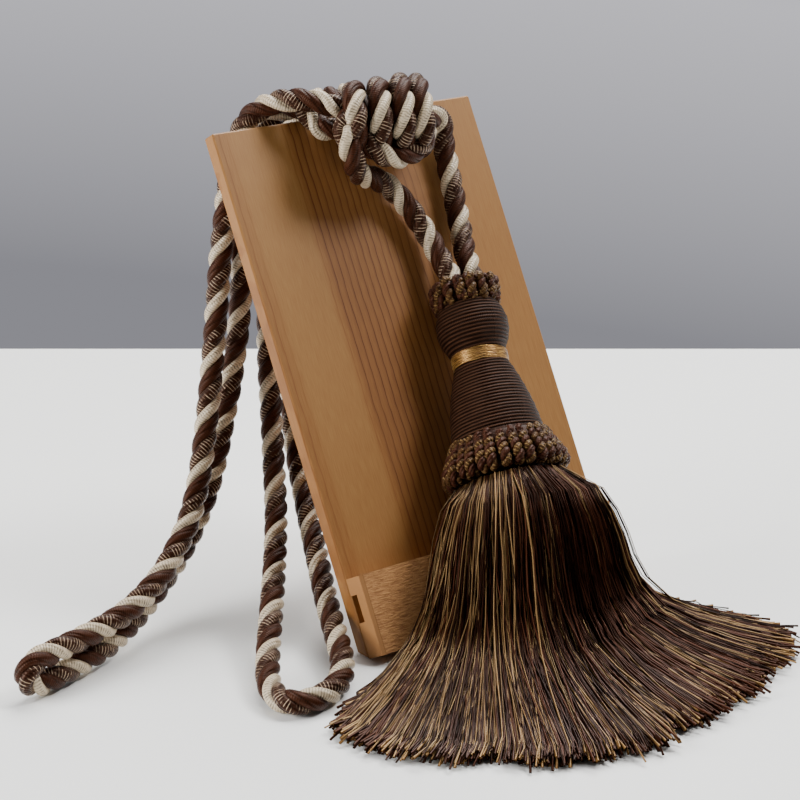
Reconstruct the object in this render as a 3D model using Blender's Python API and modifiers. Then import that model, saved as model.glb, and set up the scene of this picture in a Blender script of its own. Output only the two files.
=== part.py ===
"""Curtain tieback tassel laid over a leaning wooden board.

Metres, +Z up. The floor is z = 0, and the origin is the middle of the footprint.
The tassel hangs on two rope legs in front of the board. The legs run up into a
wound knot at the board's top edge, and the rope's two spare loops go over that
edge and hang down behind it to the floor.
"""
import math

import bmesh
import bpy
from mathutils import Matrix, Vector

# ---------------------------------------------------------------- driving sizes
TOUCH_GAP = 0.0003

# The board: its front face's lower left corner, its turn about Z, its lean back.
BOARD_CORNER = Vector((-0.0590, -0.0433, 0.0))
BOARD_TURN = math.radians(38.0)
BOARD_LEAN = math.radians(28.0)
BOARD_WIDTH = 0.155
BOARD_HEIGHT = 0.254
BOARD_THICKNESS = 0.008
BOARD_EDGE_ROUND = 0.0007

LEDGE_HEIGHT = 0.038
LEDGE_DEPTH = 0.011
LEDGE_SLOT_SPAN = (0.017, 0.030)      # up the face
LEDGE_SLOT_WIDTH = 0.006              # in from the board's left edge
LEDGE_SLOT_DEPTH = 0.005

PROP_WIDTH = 0.026
PROP_THICKNESS = 0.009
PROP_ACROSS = 0.105                   # its middle, from the board's left edge
PROP_TOP = 0.168                      # where it meets the board, up the face
PROP_REACH = 0.118                    # its foot, behind the board's foot

# The rope: three strands laid together.
ROPE_RADIUS = 0.00575
ROPE_VALLEY_RADIUS = 0.0039
ROPE_LAY = 0.027                      # length of one full turn of a strand
ROPE_STEPS_PER_LAY = 6
STRANDS = 3

# The head: the turned mould under its cord winding, from its top to its foot.
HEAD_TOP = Vector((-0.0159, 0.0692, 0.1506))
HEAD_FOOT = Vector((0.0064, 0.0085, 0.0652))
HEAD_SIDES = 18
WINDING_RISE = 0.0005                 # how far a turn of cord stands out
NECK_RADIUS = 0.0108
MOULD_TOP = 0.0080                    # the mould starts inside the top ruff, below the rope ends
SOCKET_RADIUS = 0.0200                # the mould inside the lower ruff
# winding groups along the axis: start, end, turns, and the radius at both ends and middle
WINDINGS = (
    {"start": 0.0182, "end": 0.0402, "turns": 10, "r_start": 0.0140, "r_middle": 0.0172, "r_end": 0.0130},
    {"start": 0.0472, "end": 0.0835, "turns": 17, "r_start": 0.0132, "r_middle": 0.0194, "r_end": 0.0224},
)
BAND_SPAN = (0.0405, 0.0469)          # the metal thread band at the waist
BAND_RADIUS = 0.0136
WAIST_RADIUS = 0.0120

TOP_RUFF = {"start": 0.0035, "end": 0.0177, "inner": 0.0124, "outer_start": 0.0154, "outer_end": 0.0158,
            "columns": 13, "rows": 2, "around": 39, "section": 10, "rise": 0.0015}
LOWER_RUFF = {"start": 0.0838, "end": 0.1043, "inner": 0.0203, "outer_start": 0.0225, "outer_end": 0.0285,
              "columns": 24, "rows": 4, "around": 72, "section": 11, "rise": 0.0012}

# The knot: a barrel of rope turns. Its axis runs across the board.
KNOT_CENTRE = (0.0803, 0.2447, 0.0210)  # across, up the face, out of the face
KNOT_RADIUS = 0.0198
KNOT_TAPER = 0.0015
KNOT_HALF_LENGTH = 0.0207
KNOT_RIM_ROUND = 0.0055
KNOT_BARREL_SHARE = 8 / 13            # shares of the rings from the middle to a pole
KNOT_RIM_SHARE = 11 / 13
ROPE_TURN_PITCH = 0.0112
KNOT_RIDGE = 0.0020
KNOT_STRANDS = 12                     # strand crests met on one turn of rope
KNOT_STRAND_RIDGE = 0.0004
KNOT_AROUND = 34
KNOT_ALONG = 26

# The skirt: locks that hang from a root disc and lie in a fan on the floor.
ROOT_RADIUS = 0.0262
ROOT_THICKNESS = 0.0024
ROOT_SECTORS = 28
SKIRT_FLOOR_CENTRE = Vector((0.0200, -0.0383, 0.0))
LOCK_STEPS = 5
LOCK_HALF_THICKNESS = 0.0010
LOCK_ROOT_INSET = 0.0005
LOCK_FILL = 0.42                      # half a lock's width as a share of its place in the fan
LOCK_LIMITS = (0.0010, 0.0046)        # least and most of that half width
REST_HEIGHT = 0.0010                  # middle of a lock that lies on the floor
FIRST_DROP = 0.030                    # how far a lock first runs on along the head's axis
FLARE_SLOPE = 0.34                    # sideways flare for each unit of reach ...
FLARE_NONE_AT = 0.072                 # ... beyond this reach, and inwards short of it
LANDING = {"share": 0.62, "height": 0.0020}
TOUCH_SHARE = 0.92                    # from here to its end a lock lies level
# one row for each ring of locks, from the outside in: its place on the root disc and its reach
LOCK_RINGS = (
    {"inner": 0.0195, "outer": 0.0262, "reach": 1.00},
    {"inner": 0.0125, "outer": 0.0195, "reach": 0.76},
    {"inner": 0.0040, "outer": 0.0125, "reach": 0.50},
)
# the hem on the floor, seen from the skirt's middle: turn from the board's outward
# direction towards its right-hand side, and distance
HEM = (
    {"turn": -180, "reach": 0.026}, {"turn": -150, "reach": 0.031}, {"turn": -122, "reach": 0.048},
    {"turn": -103, "reach": 0.092}, {"turn": -87, "reach": 0.128}, {"turn": -73, "reach": 0.127},
    {"turn": -60, "reach": 0.121}, {"turn": -50, "reach": 0.110}, {"turn": -32, "reach": 0.112},
    {"turn": -18, "reach": 0.106}, {"turn": -4, "reach": 0.100}, {"turn": 14, "reach": 0.097},
    {"turn": 36, "reach": 0.104}, {"turn": 51, "reach": 0.116}, {"turn": 62, "reach": 0.115},
    {"turn": 76, "reach": 0.096}, {"turn": 97, "reach": 0.072}, {"turn": 125, "reach": 0.044},
    {"turn": 152, "reach": 0.031}, {"turn": 180, "reach": 0.026},
)

# Rope routes, chosen by hand, from where each stretch leaves its neighbour.
LEG_RIGHT_ROUTE = (
    (-0.0360, 0.0956, 0.2197), (-0.0349, 0.0971, 0.2198), (-0.0336, 0.1002, 0.2205), (-0.0314, 0.1049, 0.2206),
    (-0.0263, 0.1127, 0.2200), (-0.0245, 0.1143, 0.2160), (-0.0238, 0.1135, 0.2101), (-0.0230, 0.1115, 0.2040),
    (-0.0216, 0.1086, 0.1971), (-0.0194, 0.1036, 0.1872), (-0.0170, 0.0969, 0.1762), (-0.0151, 0.0905, 0.1677),
    (-0.0138, 0.0834, 0.1610), (-0.0121, 0.0774, 0.1555), (-0.0106, 0.0726, 0.1508), (-0.0087, 0.0679, 0.1456),
)
LEG_LEFT_ROUTE = (
    (-0.0712, 0.0583, 0.2248), (-0.0700, 0.0565, 0.2221), (-0.0690, 0.0555, 0.2176), (-0.0670, 0.0566, 0.2115),
    (-0.0650, 0.0612, 0.2041), (-0.0620, 0.0684, 0.2002), (-0.0570, 0.0741, 0.1977), (-0.0513, 0.0785, 0.1935),
    (-0.0464, 0.0804, 0.1884), (-0.0416, 0.0810, 0.1828), (-0.0375, 0.0804, 0.1772), (-0.0336, 0.0791, 0.1716),
    (-0.0302, 0.0772, 0.1666), (-0.0274, 0.0741, 0.1619), (-0.0245, 0.0703, 0.1574), (-0.0216, 0.0661, 0.1528),
    (-0.0191, 0.0620, 0.1482),
)
ARM_LEFT_ROUTE = (
    (-0.0750, 0.0681, 0.2334), (-0.0773, 0.0675, 0.2341), (-0.0809, 0.0676, 0.2356), (-0.0879, 0.0680, 0.2366),
    (-0.0953, 0.0701, 0.2365), (-0.1025, 0.0723, 0.2352), (-0.1093, 0.0750, 0.2323), (-0.1153, 0.0765, 0.2279),
    (-0.1196, 0.0774, 0.2222), (-0.1219, 0.0771, 0.2155), (-0.1244, 0.0749, 0.2066), (-0.1272, 0.0695, 0.1928),
    (-0.1294, 0.0639, 0.1744), (-0.1314, 0.0598, 0.1574), (-0.1325, 0.0552, 0.1420), (-0.1350, 0.0452, 0.1125),
    (-0.1380, 0.0327, 0.0830), (-0.1410, 0.0207, 0.0620), (-0.1445, 0.0097, 0.0485), (-0.1495, -0.0013, 0.0385),
    (-0.1550, -0.0133, 0.0310), (-0.1610, -0.0243, 0.0260), (-0.1675, -0.0348, 0.0225), (-0.1745, -0.0443, 0.0202),
    (-0.1820, -0.0538, 0.0190), (-0.1900, -0.0638, 0.0183), (-0.1972, -0.0730, 0.0182), (-0.2036, -0.0812, 0.0179),
    (-0.2069, -0.0853, 0.0159), (-0.2083, -0.0871, 0.0116), (-0.2067, -0.0851, 0.0079), (-0.2033, -0.0809, 0.0061),
    (-0.1965, -0.0721, 0.0061), (-0.1905, -0.0633, 0.0063), (-0.1845, -0.0543, 0.0068), (-0.1785, -0.0448, 0.0076),
    (-0.1735, -0.0343, 0.0091), (-0.1685, -0.0228, 0.0110), (-0.1630, -0.0118, 0.0150), (-0.1570, -0.0013, 0.0210),
    (-0.1505, 0.0097, 0.0285), (-0.1445, 0.0202, 0.0380), (-0.1390, 0.0297, 0.0500), (-0.1345, 0.0387, 0.0640),
    (-0.1305, 0.0487, 0.0830), (-0.1265, 0.0577, 0.1040), (-0.1230, 0.0657, 0.1310), (-0.1215, 0.0725, 0.1630),
    (-0.1242, 0.0847, 0.1719), (-0.1219, 0.0951, 0.1808), (-0.1154, 0.1013, 0.1922), (-0.1071, 0.1044, 0.2044),
    (-0.0989, 0.1052, 0.2152), (-0.0916, 0.1040, 0.2241), (-0.0866, 0.1009, 0.2293), (-0.0826, 0.0963, 0.2321),
    (-0.0798, 0.0926, 0.2332), (-0.0781, 0.0904, 0.2332),
)
ARM_MIDDLE_ROUTE = (
    (-0.0821, 0.0730, 0.2225), (-0.0846, 0.0746, 0.2249), (-0.0879, 0.0768, 0.2277), (-0.0922, 0.0801, 0.2307),
    (-0.0978, 0.0836, 0.2301), (-0.1033, 0.0862, 0.2275), (-0.1078, 0.0877, 0.2229), (-0.1101, 0.0877, 0.2154),
    (-0.1107, 0.0869, 0.2038), (-0.1112, 0.0847, 0.1900), (-0.1110, 0.0827, 0.1650), (-0.1100, 0.0787, 0.1360),
    (-0.1095, 0.0707, 0.1055), (-0.1080, 0.0612, 0.0830), (-0.1065, 0.0477, 0.0630), (-0.1045, 0.0257, 0.0440),
    (-0.1040, -0.0003, 0.0305), (-0.1040, -0.0323, 0.0200), (-0.1040, -0.0633, 0.0110), (-0.1025, -0.0833, 0.0071),
    (-0.0980, -0.0948, 0.0061), (-0.0915, -0.0998, 0.0060), (-0.0840, -0.0978, 0.0060), (-0.0765, -0.0903, 0.0061),
    (-0.0715, -0.0788, 0.0068), (-0.0708, -0.0633, 0.0086), (-0.0744, -0.0423, 0.0125), (-0.0790, -0.0208, 0.0190),
    (-0.0835, 0.0037, 0.0275), (-0.0878, 0.0257, 0.0365), (-0.0920, 0.0457, 0.0475), (-0.0955, 0.0597, 0.0600),
    (-0.0980, 0.0707, 0.0760), (-0.0995, 0.0817, 0.1015), (-0.1010, 0.0902, 0.1320), (-0.1025, 0.0942, 0.1680),
    (-0.1007, 0.1019, 0.1815), (-0.0956, 0.1075, 0.1966), (-0.0889, 0.1106, 0.2094), (-0.0827, 0.1115, 0.2196),
    (-0.0780, 0.1100, 0.2269), (-0.0744, 0.1063, 0.2310), (-0.0708, 0.1020, 0.2329), (-0.0687, 0.0994, 0.2333),
)

# ---------------------------------------------------------------- scene set-up
for old in list(bpy.data.objects):
    bpy.data.objects.remove(old, do_unlink=True)

parts = bpy.data.collections.new("tassel_on_board")
guides = bpy.data.collections.new("guides")
bpy.context.scene.collection.children.link(parts)
bpy.context.scene.collection.children.link(guides)


def make_material(name, colour, roughness, metallic=0.0):
    material = bpy.data.materials.new(name)
    material.use_nodes = True
    shader = material.node_tree.nodes["Principled BSDF"]
    shader.inputs["Base Color"].default_value = (*colour, 1.0)
    shader.inputs["Roughness"].default_value = roughness
    shader.inputs["Metallic"].default_value = metallic
    return material


PINE = make_material("pine", (0.52, 0.30, 0.14), 0.55)
END_GRAIN = make_material("pine_end_grain", (0.44, 0.25, 0.11), 0.75)
ROPE_YARN = make_material("rope_yarn", (0.20, 0.12, 0.08), 0.45)
WINDING_YARN = make_material("winding_yarn", (0.055, 0.030, 0.018), 0.45)
RUFF_CORD = make_material("ruff_cord", (0.13, 0.070, 0.035), 0.5)
METAL_THREAD = make_material("metal_thread", (0.50, 0.33, 0.14), 0.35, 0.6)
FRINGE_YARN = make_material("fringe_yarn", (0.11, 0.065, 0.035), 0.4)


# ---------------------------------------------------------------- shared helpers
def add_mesh(name, mesh_data, material, smooth_angle=None):
    """Turn a bmesh into a finished object of the model."""
    bmesh.ops.recalc_face_normals(mesh_data, faces=mesh_data.faces)
    mesh = bpy.data.meshes.new(name)
    mesh_data.to_mesh(mesh)
    mesh_data.free()
    mesh.materials.append(material)
    if smooth_angle is not None:
        mesh.shade_smooth()
        mesh.set_sharp_from_angle(angle=math.radians(smooth_angle))
    item = bpy.data.objects.new(name, mesh)
    parts.objects.link(item)
    return item


def board_frame():
    """Local X runs across the board, Y up its face, Z out of its face."""
    across = Vector((math.cos(BOARD_TURN), math.sin(BOARD_TURN), 0.0))
    backward = Vector((-math.sin(BOARD_TURN), math.cos(BOARD_TURN), 0.0))
    up_face = math.cos(BOARD_LEAN) * Vector((0.0, 0.0, 1.0)) + math.sin(BOARD_LEAN) * backward
    outward = across.cross(up_face)
    turn = Matrix((across, up_face, outward)).transposed().to_4x4()
    return Matrix.Translation(BOARD_CORNER) @ turn, backward


def axis_frame(origin, direction, sideways):
    """A frame at origin whose Z is direction and whose X is nearest to sideways."""
    z_axis = direction.normalized()
    x_axis = (sideways - sideways.dot(z_axis) * z_axis).normalized()
    y_axis = z_axis.cross(x_axis)
    turn = Matrix((x_axis, y_axis, z_axis)).transposed().to_4x4()
    return Matrix.Translation(origin) @ turn


def box_mesh(low, high):
    """A closed box between two corners."""
    box = bmesh.new()
    bmesh.ops.create_cube(box, size=1.0)
    size = high - low
    bmesh.ops.scale(box, vec=size, verts=box.verts)
    bmesh.ops.translate(box, vec=(low + high) / 2.0, verts=box.verts)
    return box


def cut_below(solid, point, upward):
    """Cut off all that lies on the far side of a plane and close the cut."""
    geometry = solid.verts[:] + solid.edges[:] + solid.faces[:]
    cut = bmesh.ops.bisect_plane(solid, geom=geometry, plane_co=point, plane_no=upward, clear_inner=True)
    rim = [item for item in cut["geom_cut"] if isinstance(item, bmesh.types.BMEdge)]
    bmesh.ops.contextual_create(solid, geom=rim)


def add_edge_round(item, width):
    rounding = item.modifiers.new("edge_round", "BEVEL")
    rounding.width = width
    rounding.segments = 1
    rounding.limit_method = "ANGLE"


# ---------------------------------------------------------------- board and its support
def build_board_panel(frame):
    """The flat panel, with its foot cut level so that it stands on the floor."""
    low = Vector((0.0, -0.02, -BOARD_THICKNESS))
    panel = box_mesh(low, Vector((BOARD_WIDTH, BOARD_HEIGHT, 0.0)))
    bmesh.ops.transform(panel, matrix=frame, verts=panel.verts)
    cut_below(panel, Vector((0.0, 0.0, 0.0)), Vector((0.0, 0.0, 1.0)))
    add_edge_round(add_mesh("board_panel", panel, PINE), BOARD_EDGE_ROUND)


def build_board_ledge(frame):
    """The cross bar at the panel's foot, with a small slot in its left end."""
    low = Vector((0.0, 0.0003, TOUCH_GAP))
    ledge = box_mesh(low, Vector((BOARD_WIDTH, LEDGE_HEIGHT, TOUCH_GAP + LEDGE_DEPTH)))
    item = add_mesh("board_ledge", ledge, END_GRAIN)
    item.matrix_world = frame

    slot_low = Vector((-0.002, LEDGE_SLOT_SPAN[0], -0.002))
    slot = box_mesh(slot_low, Vector((LEDGE_SLOT_WIDTH, LEDGE_SLOT_SPAN[1], TOUCH_GAP + LEDGE_SLOT_DEPTH)))
    slot_mesh = bpy.data.meshes.new("ledge_slot")
    slot.to_mesh(slot_mesh)
    slot.free()
    cutter = bpy.data.objects.new("ledge_slot", slot_mesh)
    cutter.matrix_world = frame
    cutter.hide_render = True
    cutter.display_type = "WIRE"
    guides.objects.link(cutter)
    cut = item.modifiers.new("slot", "BOOLEAN")
    cut.operation = "DIFFERENCE"
    cut.object = cutter


def build_board_prop(frame, backward):
    """A plain strut behind the board: level at its foot, flat against the panel."""
    outward = frame.to_3x3() @ Vector((0.0, 0.0, 1.0))
    across = frame.to_3x3() @ Vector((1.0, 0.0, 0.0))
    foot_line = BOARD_CORNER + PROP_ACROSS * across
    foot = foot_line + PROP_REACH * backward
    top = frame @ Vector((PROP_ACROSS, PROP_TOP, -BOARD_THICKNESS))
    length = (top - foot).length
    strut_frame = axis_frame(foot, top - foot, across)
    margin = 0.03
    low = Vector((-PROP_WIDTH / 2, -PROP_THICKNESS / 2, -margin))
    strut = box_mesh(low, Vector((PROP_WIDTH / 2, PROP_THICKNESS / 2, length + margin)))
    bmesh.ops.transform(strut, matrix=strut_frame, verts=strut.verts)
    cut_below(strut, Vector((0.0, 0.0, 0.0)), Vector((0.0, 0.0, 1.0)))
    back_face = frame @ Vector((0.0, 0.0, -BOARD_THICKNESS - TOUCH_GAP))
    cut_below(strut, back_face, -outward)
    add_mesh("board_prop", strut, PINE)


# ---------------------------------------------------------------- rope
def smooth_route(points, step):
    """Even steps along a centripetal Catmull-Rom curve through the route's points."""
    knots = [Vector(point) for point in points]
    before = 2 * knots[0] - knots[1]
    after = 2 * knots[-1] - knots[-2]
    chain = [before] + knots + [after]
    fine = []
    for first, second, third, fourth in zip(chain, chain[1:], chain[2:], chain[3:]):
        gap_a = math.sqrt((second - first).length)
        gap_b = math.sqrt((third - second).length)
        gap_c = math.sqrt((fourth - third).length)
        leave = (second - first) / gap_a - (third - first) / (gap_a + gap_b) + (third - second) / gap_b
        arrive = (third - second) / gap_b - (fourth - second) / (gap_b + gap_c) + (fourth - third) / gap_c
        leave *= gap_b
        arrive *= gap_b
        for index in range(12):
            t = index / 12
            fine.append((2 * t**3 - 3 * t**2 + 1) * second + (t**3 - 2 * t**2 + t) * leave
                        + (3 * t**2 - 2 * t**3) * third + (t**3 - t**2) * arrive)
    fine.append(knots[-1])

    total = sum((b - a).length for a, b in zip(fine, fine[1:]))
    count = max(2, round(total / step))
    even = [fine[0]]
    walked = 0.0
    for start, end in zip(fine, fine[1:]):
        span = (end - start).length
        while len(even) < count and walked + span >= total * len(even) / count:
            even.append(start.lerp(end, (total * len(even) / count - walked) / span))
        walked += span
    even.append(fine[-1])
    return even, total


def make_rope_section():
    """The rope's cross-section: three crests with valleys between them."""
    outline = bpy.data.curves.new("rope_section", "CURVE")
    outline.dimensions = "2D"
    spline = outline.splines.new("POLY")
    corners = 2 * STRANDS
    spline.points.add(corners - 1)
    for index in range(corners):
        angle = -math.tau * index / corners
        radius = ROPE_VALLEY_RADIUS if index % 2 else ROPE_RADIUS
        spline.points[index].co = (radius * math.cos(angle), radius * math.sin(angle), 0.0, 1.0)
    spline.use_cyclic_u = True
    section = bpy.data.objects.new("rope_section", outline)
    section.hide_render = True
    section.display_type = "WIRE"
    guides.objects.link(section)
    return section


def build_rope(name, points, section):
    """A rope stretch: the section swept along its route, turned once in each lay."""
    route, length = smooth_route(points, ROPE_LAY / ROPE_STEPS_PER_LAY)
    curve = bpy.data.curves.new(name, "CURVE")
    curve.dimensions = "3D"
    curve.twist_mode = "MINIMUM"
    curve.bevel_mode = "OBJECT"
    curve.bevel_object = section
    curve.use_fill_caps = True
    spline = curve.splines.new("POLY")
    spline.points.add(len(route) - 1)
    for index, point in enumerate(route):
        spline.points[index].co = (*point, 1.0)
        spline.points[index].tilt = math.tau * (length * index / (len(route) - 1)) / ROPE_LAY
    spline.use_smooth = True
    curve.materials.append(ROPE_YARN)
    parts.objects.link(bpy.data.objects.new(name, curve))
    print(name, "length", round(length, 4), "steps", len(route))


def knot_outline(share):
    """Place along the knot and radius there, from one pole (-1) to the other (1)."""
    side = abs(share)
    round_size = KNOT_RIM_ROUND
    straight = KNOT_HALF_LENGTH - round_size
    if side <= KNOT_BARREL_SHARE:
        along = straight * side / KNOT_BARREL_SHARE
        radius = KNOT_RADIUS - KNOT_TAPER * (along / straight) ** 2
    elif side <= KNOT_RIM_SHARE:
        angle = math.pi / 2 * (side - KNOT_BARREL_SHARE) / (KNOT_RIM_SHARE - KNOT_BARREL_SHARE)
        along = straight + round_size * math.sin(angle)
        radius = KNOT_RADIUS - KNOT_TAPER - round_size * (1.0 - math.cos(angle))
    else:
        along = KNOT_HALF_LENGTH
        radius = (KNOT_RADIUS - KNOT_TAPER - round_size) * (1.0 - side) / (1.0 - KNOT_RIM_SHARE)
    return math.copysign(along, share), radius


def build_knot(frame):
    """The wound knot: a barrel whose skin carries the rope turns and their strands."""
    knot_frame = frame @ Matrix.Translation(Vector(KNOT_CENTRE)) @ Matrix.Rotation(math.pi / 2, 4, "Y")
    knot = bmesh.new()
    bmesh.ops.create_uvsphere(knot, u_segments=KNOT_AROUND, v_segments=KNOT_ALONG, radius=1.0)
    for vertex in knot.verts:
        latitude = math.asin(max(-1.0, min(1.0, vertex.co.z)))
        around = math.atan2(vertex.co.y, vertex.co.x)
        share = latitude / (math.pi / 2)
        along, radius = knot_outline(share)
        turn = along / ROPE_TURN_PITCH - around / math.tau
        strand = KNOT_STRANDS * around / math.tau + turn
        relief = KNOT_RIDGE * (abs(math.cos(math.pi * turn)) - 1.0)
        relief += KNOT_STRAND_RIDGE * (math.cos(math.tau * strand) - 1.0)
        if abs(share) > KNOT_RIM_SHARE:
            relief *= (1.0 - abs(share)) / (1.0 - KNOT_RIM_SHARE)
        radius = max(0.0, radius + relief)
        vertex.co = Vector((radius * math.cos(around), radius * math.sin(around), along))
    bmesh.ops.transform(knot, matrix=knot_frame, verts=knot.verts)
    add_mesh("knot", knot, ROPE_YARN, 60)


# ---------------------------------------------------------------- tassel head
def winding_profile():
    """Radius and distance from the head's top for the mould and each turn of cord."""
    profile = [(0.0, MOULD_TOP), (NECK_RADIUS, MOULD_TOP), (NECK_RADIUS, WINDINGS[0]["start"])]
    for group in WINDINGS:
        steps = 2 * group["turns"]
        for index in range(steps + 1):
            t = index / steps
            middle = 4 * t * (1 - t)
            straight = group["r_start"] * (1 - t) + group["r_end"] * t
            bulge = group["r_middle"] - (group["r_start"] + group["r_end"]) / 2
            rise = WINDING_RISE if index % 2 else -WINDING_RISE
            profile.append((straight + bulge * middle + rise, group["start"] + t * (group["end"] - group["start"])))
        if group is WINDINGS[0]:
            profile.append((WAIST_RADIUS, BAND_SPAN[0]))
            profile.append((WAIST_RADIUS, BAND_SPAN[1]))
    foot = (HEAD_FOOT - HEAD_TOP).length - 0.0025
    profile.append((SOCKET_RADIUS, WINDINGS[1]["end"] + 0.0001))
    profile.append((SOCKET_RADIUS, foot))
    profile.append((0.0, foot))
    return profile


def build_turned(name, profile, frame, material, sides, closed):
    """A turned piece. Its profile runs down the outer side, seen at +X."""
    mesh = bpy.data.meshes.new(name)
    outline = [(radius, 0.0, -distance) for radius, distance in profile]
    edges = [(index, index + 1) for index in range(len(outline) - 1)]
    if closed:
        edges.append((len(outline) - 1, 0))
    mesh.from_pydata(outline, edges, [])
    mesh.materials.append(material)
    item = bpy.data.objects.new(name, mesh)
    parts.objects.link(item)
    item.matrix_world = frame
    turn = item.modifiers.new("turn", "SCREW")
    turn.axis = "Z"
    turn.steps = sides
    turn.render_steps = sides
    turn.use_merge_vertices = True
    turn.merge_threshold = 0.00001
    turn.use_smooth_shade = True
    return item


def build_ruff(name, ruff, frame):
    """A ring of looped cord knobs, set in rows like bricks around the head."""
    bpy.ops.mesh.primitive_torus_add(
        major_segments=ruff["around"], minor_segments=ruff["section"], major_radius=1.0, minor_radius=0.4)
    item = bpy.context.active_object
    item.name = name
    for owner in list(item.users_collection):
        owner.objects.unlink(item)
    parts.objects.link(item)
    outer_share = 0.74          # share of the section's points that lie on the outside
    half = outer_share * math.pi
    for vertex in item.data.vertices:
        around = math.atan2(vertex.co.y, vertex.co.x)
        section = math.atan2(vertex.co.z, math.hypot(vertex.co.x, vertex.co.y) - 1.0)
        if abs(section) <= half:
            t = (1.0 - section / half) / 2.0
            body = ruff["outer_start"] * (1 - t) + ruff["outer_end"] * t
            crown = math.sqrt(max(0.0, 1.0 - (2 * t - 1) ** 4))
            base = ruff["inner"] + (body - ruff["inner"]) * (0.55 + 0.45 * crown)
            row = t * ruff["rows"]
            column = around / math.tau * ruff["columns"] + 0.5 * (int(row) % 2)
            knob = math.cos(math.tau * column) * abs(math.sin(math.pi * row))
            radius = base + ruff["rise"] * knob * crown
        else:
            back = (abs(section) - half) / (math.pi - half)
            t = 0.5 - math.copysign(0.5 * (1 - back), section)
            radius = ruff["inner"]
        distance = ruff["start"] + t * (ruff["end"] - ruff["start"])
        vertex.co = Vector((radius * math.cos(around), radius * math.sin(around), -distance))
    item.data.materials.append(RUFF_CORD)
    item.data.shade_smooth()
    item.matrix_world = frame


def build_head(head_frame):
    """The wound mould, its metal thread band and both ruffs."""
    build_turned("head", winding_profile(), head_frame, WINDING_YARN, HEAD_SIDES, False)
    rise = 0.0004
    band = [(WAIST_RADIUS + TOUCH_GAP, BAND_SPAN[0] + TOUCH_GAP), (BAND_RADIUS, BAND_SPAN[0] + TOUCH_GAP)]
    turns = 5
    for index in range(1, 2 * turns):
        t = index / (2 * turns)
        distance = BAND_SPAN[0] + TOUCH_GAP + t * (BAND_SPAN[1] - BAND_SPAN[0] - 2 * TOUCH_GAP)
        band.append((BAND_RADIUS + (rise if index % 2 else 0.0), distance))
    band += [(BAND_RADIUS, BAND_SPAN[1] - TOUCH_GAP), (WAIST_RADIUS + TOUCH_GAP, BAND_SPAN[1] - TOUCH_GAP)]
    build_turned("thread_band", band, head_frame, METAL_THREAD, HEAD_SIDES, True)
    build_ruff("top_ruff", TOP_RUFF, head_frame)
    build_ruff("lower_ruff", LOWER_RUFF, head_frame)


# ---------------------------------------------------------------- skirt
def hem_reach(turn):
    """Distance of the hem from the skirt's middle at a turn in degrees."""
    for low, high in zip(HEM, HEM[1:]):
        if turn <= high["turn"]:
            t = (turn - low["turn"]) / (high["turn"] - low["turn"])
            return low["reach"] * (1 - t) + high["reach"] * t
    return HEM[-1]["reach"]


def lock_path(root, root_radius, turn, ring, floor_axes, down):
    """Points of one lock, from its root to its end lying level on the floor."""
    angle = math.radians(turn)
    away = math.cos(angle) * floor_axes[0] + math.sin(angle) * floor_axes[1]
    reach = hem_reach(turn) * ring["reach"]
    level = Vector((0.0, 0.0, REST_HEIGHT))
    end = SKIRT_FLOOR_CENTRE + reach * away + level
    touch = SKIRT_FLOOR_CENTRE + TOUCH_SHARE * reach * away + level
    land = SKIRT_FLOOR_CENTRE + LANDING["share"] * reach * away + level
    land.z += LANDING["height"]
    flare = FLARE_SLOPE * (hem_reach(turn) - FLARE_NONE_AT) * root_radius / ROOT_RADIUS
    lift = root + down * FIRST_DROP + away * flare
    points = []
    for index in range(LOCK_STEPS):
        t = index / (LOCK_STEPS - 1)
        points.append((1 - t) ** 3 * root + 3 * (1 - t) ** 2 * t * lift + 3 * (1 - t) * t**2 * land + t**3 * touch)
    points.append(end)
    return points


def grow_lock(skirt, face, path):
    """Draw one root face out along its path, a little wider at every step."""
    spacing = math.tau / (2 * ROOT_SECTORS)
    corners = ((0.0, 1.0), (-1.0, -0.5), (1.0, -0.5))
    slots = sorted(corners, key=lambda corner: math.atan2(corner[1], corner[0]))
    bmesh.ops.inset_individual(skirt, faces=[face], thickness=LOCK_ROOT_INSET, use_even_offset=True)
    for step in range(1, len(path)):
        grown = bmesh.ops.extrude_discrete_faces(skirt, faces=[face])
        face = grown["faces"][0]
        ahead = path[min(step + 1, len(path) - 1)]
        heading = (ahead - path[step - 1]).normalized()
        sideways = heading.cross(Vector((0.0, 0.0, 1.0))).normalized()
        upright = sideways.cross(heading)
        from_middle = path[step] - SKIRT_FLOOR_CENTRE
        from_middle.z = 0.0
        width = min(LOCK_LIMITS[1], max(LOCK_LIMITS[0], LOCK_FILL * spacing * from_middle.length))
        middle = face.calc_center_median()
        ordered = sorted(face.verts, key=lambda vertex: math.atan2(
            (vertex.co - middle).dot(upright), (vertex.co - middle).dot(sideways)))
        for vertex, (side, rise) in zip(ordered, slots):
            vertex.co = path[step] + sideways * side * width + upright * rise * LOCK_HALF_THICKNESS


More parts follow.
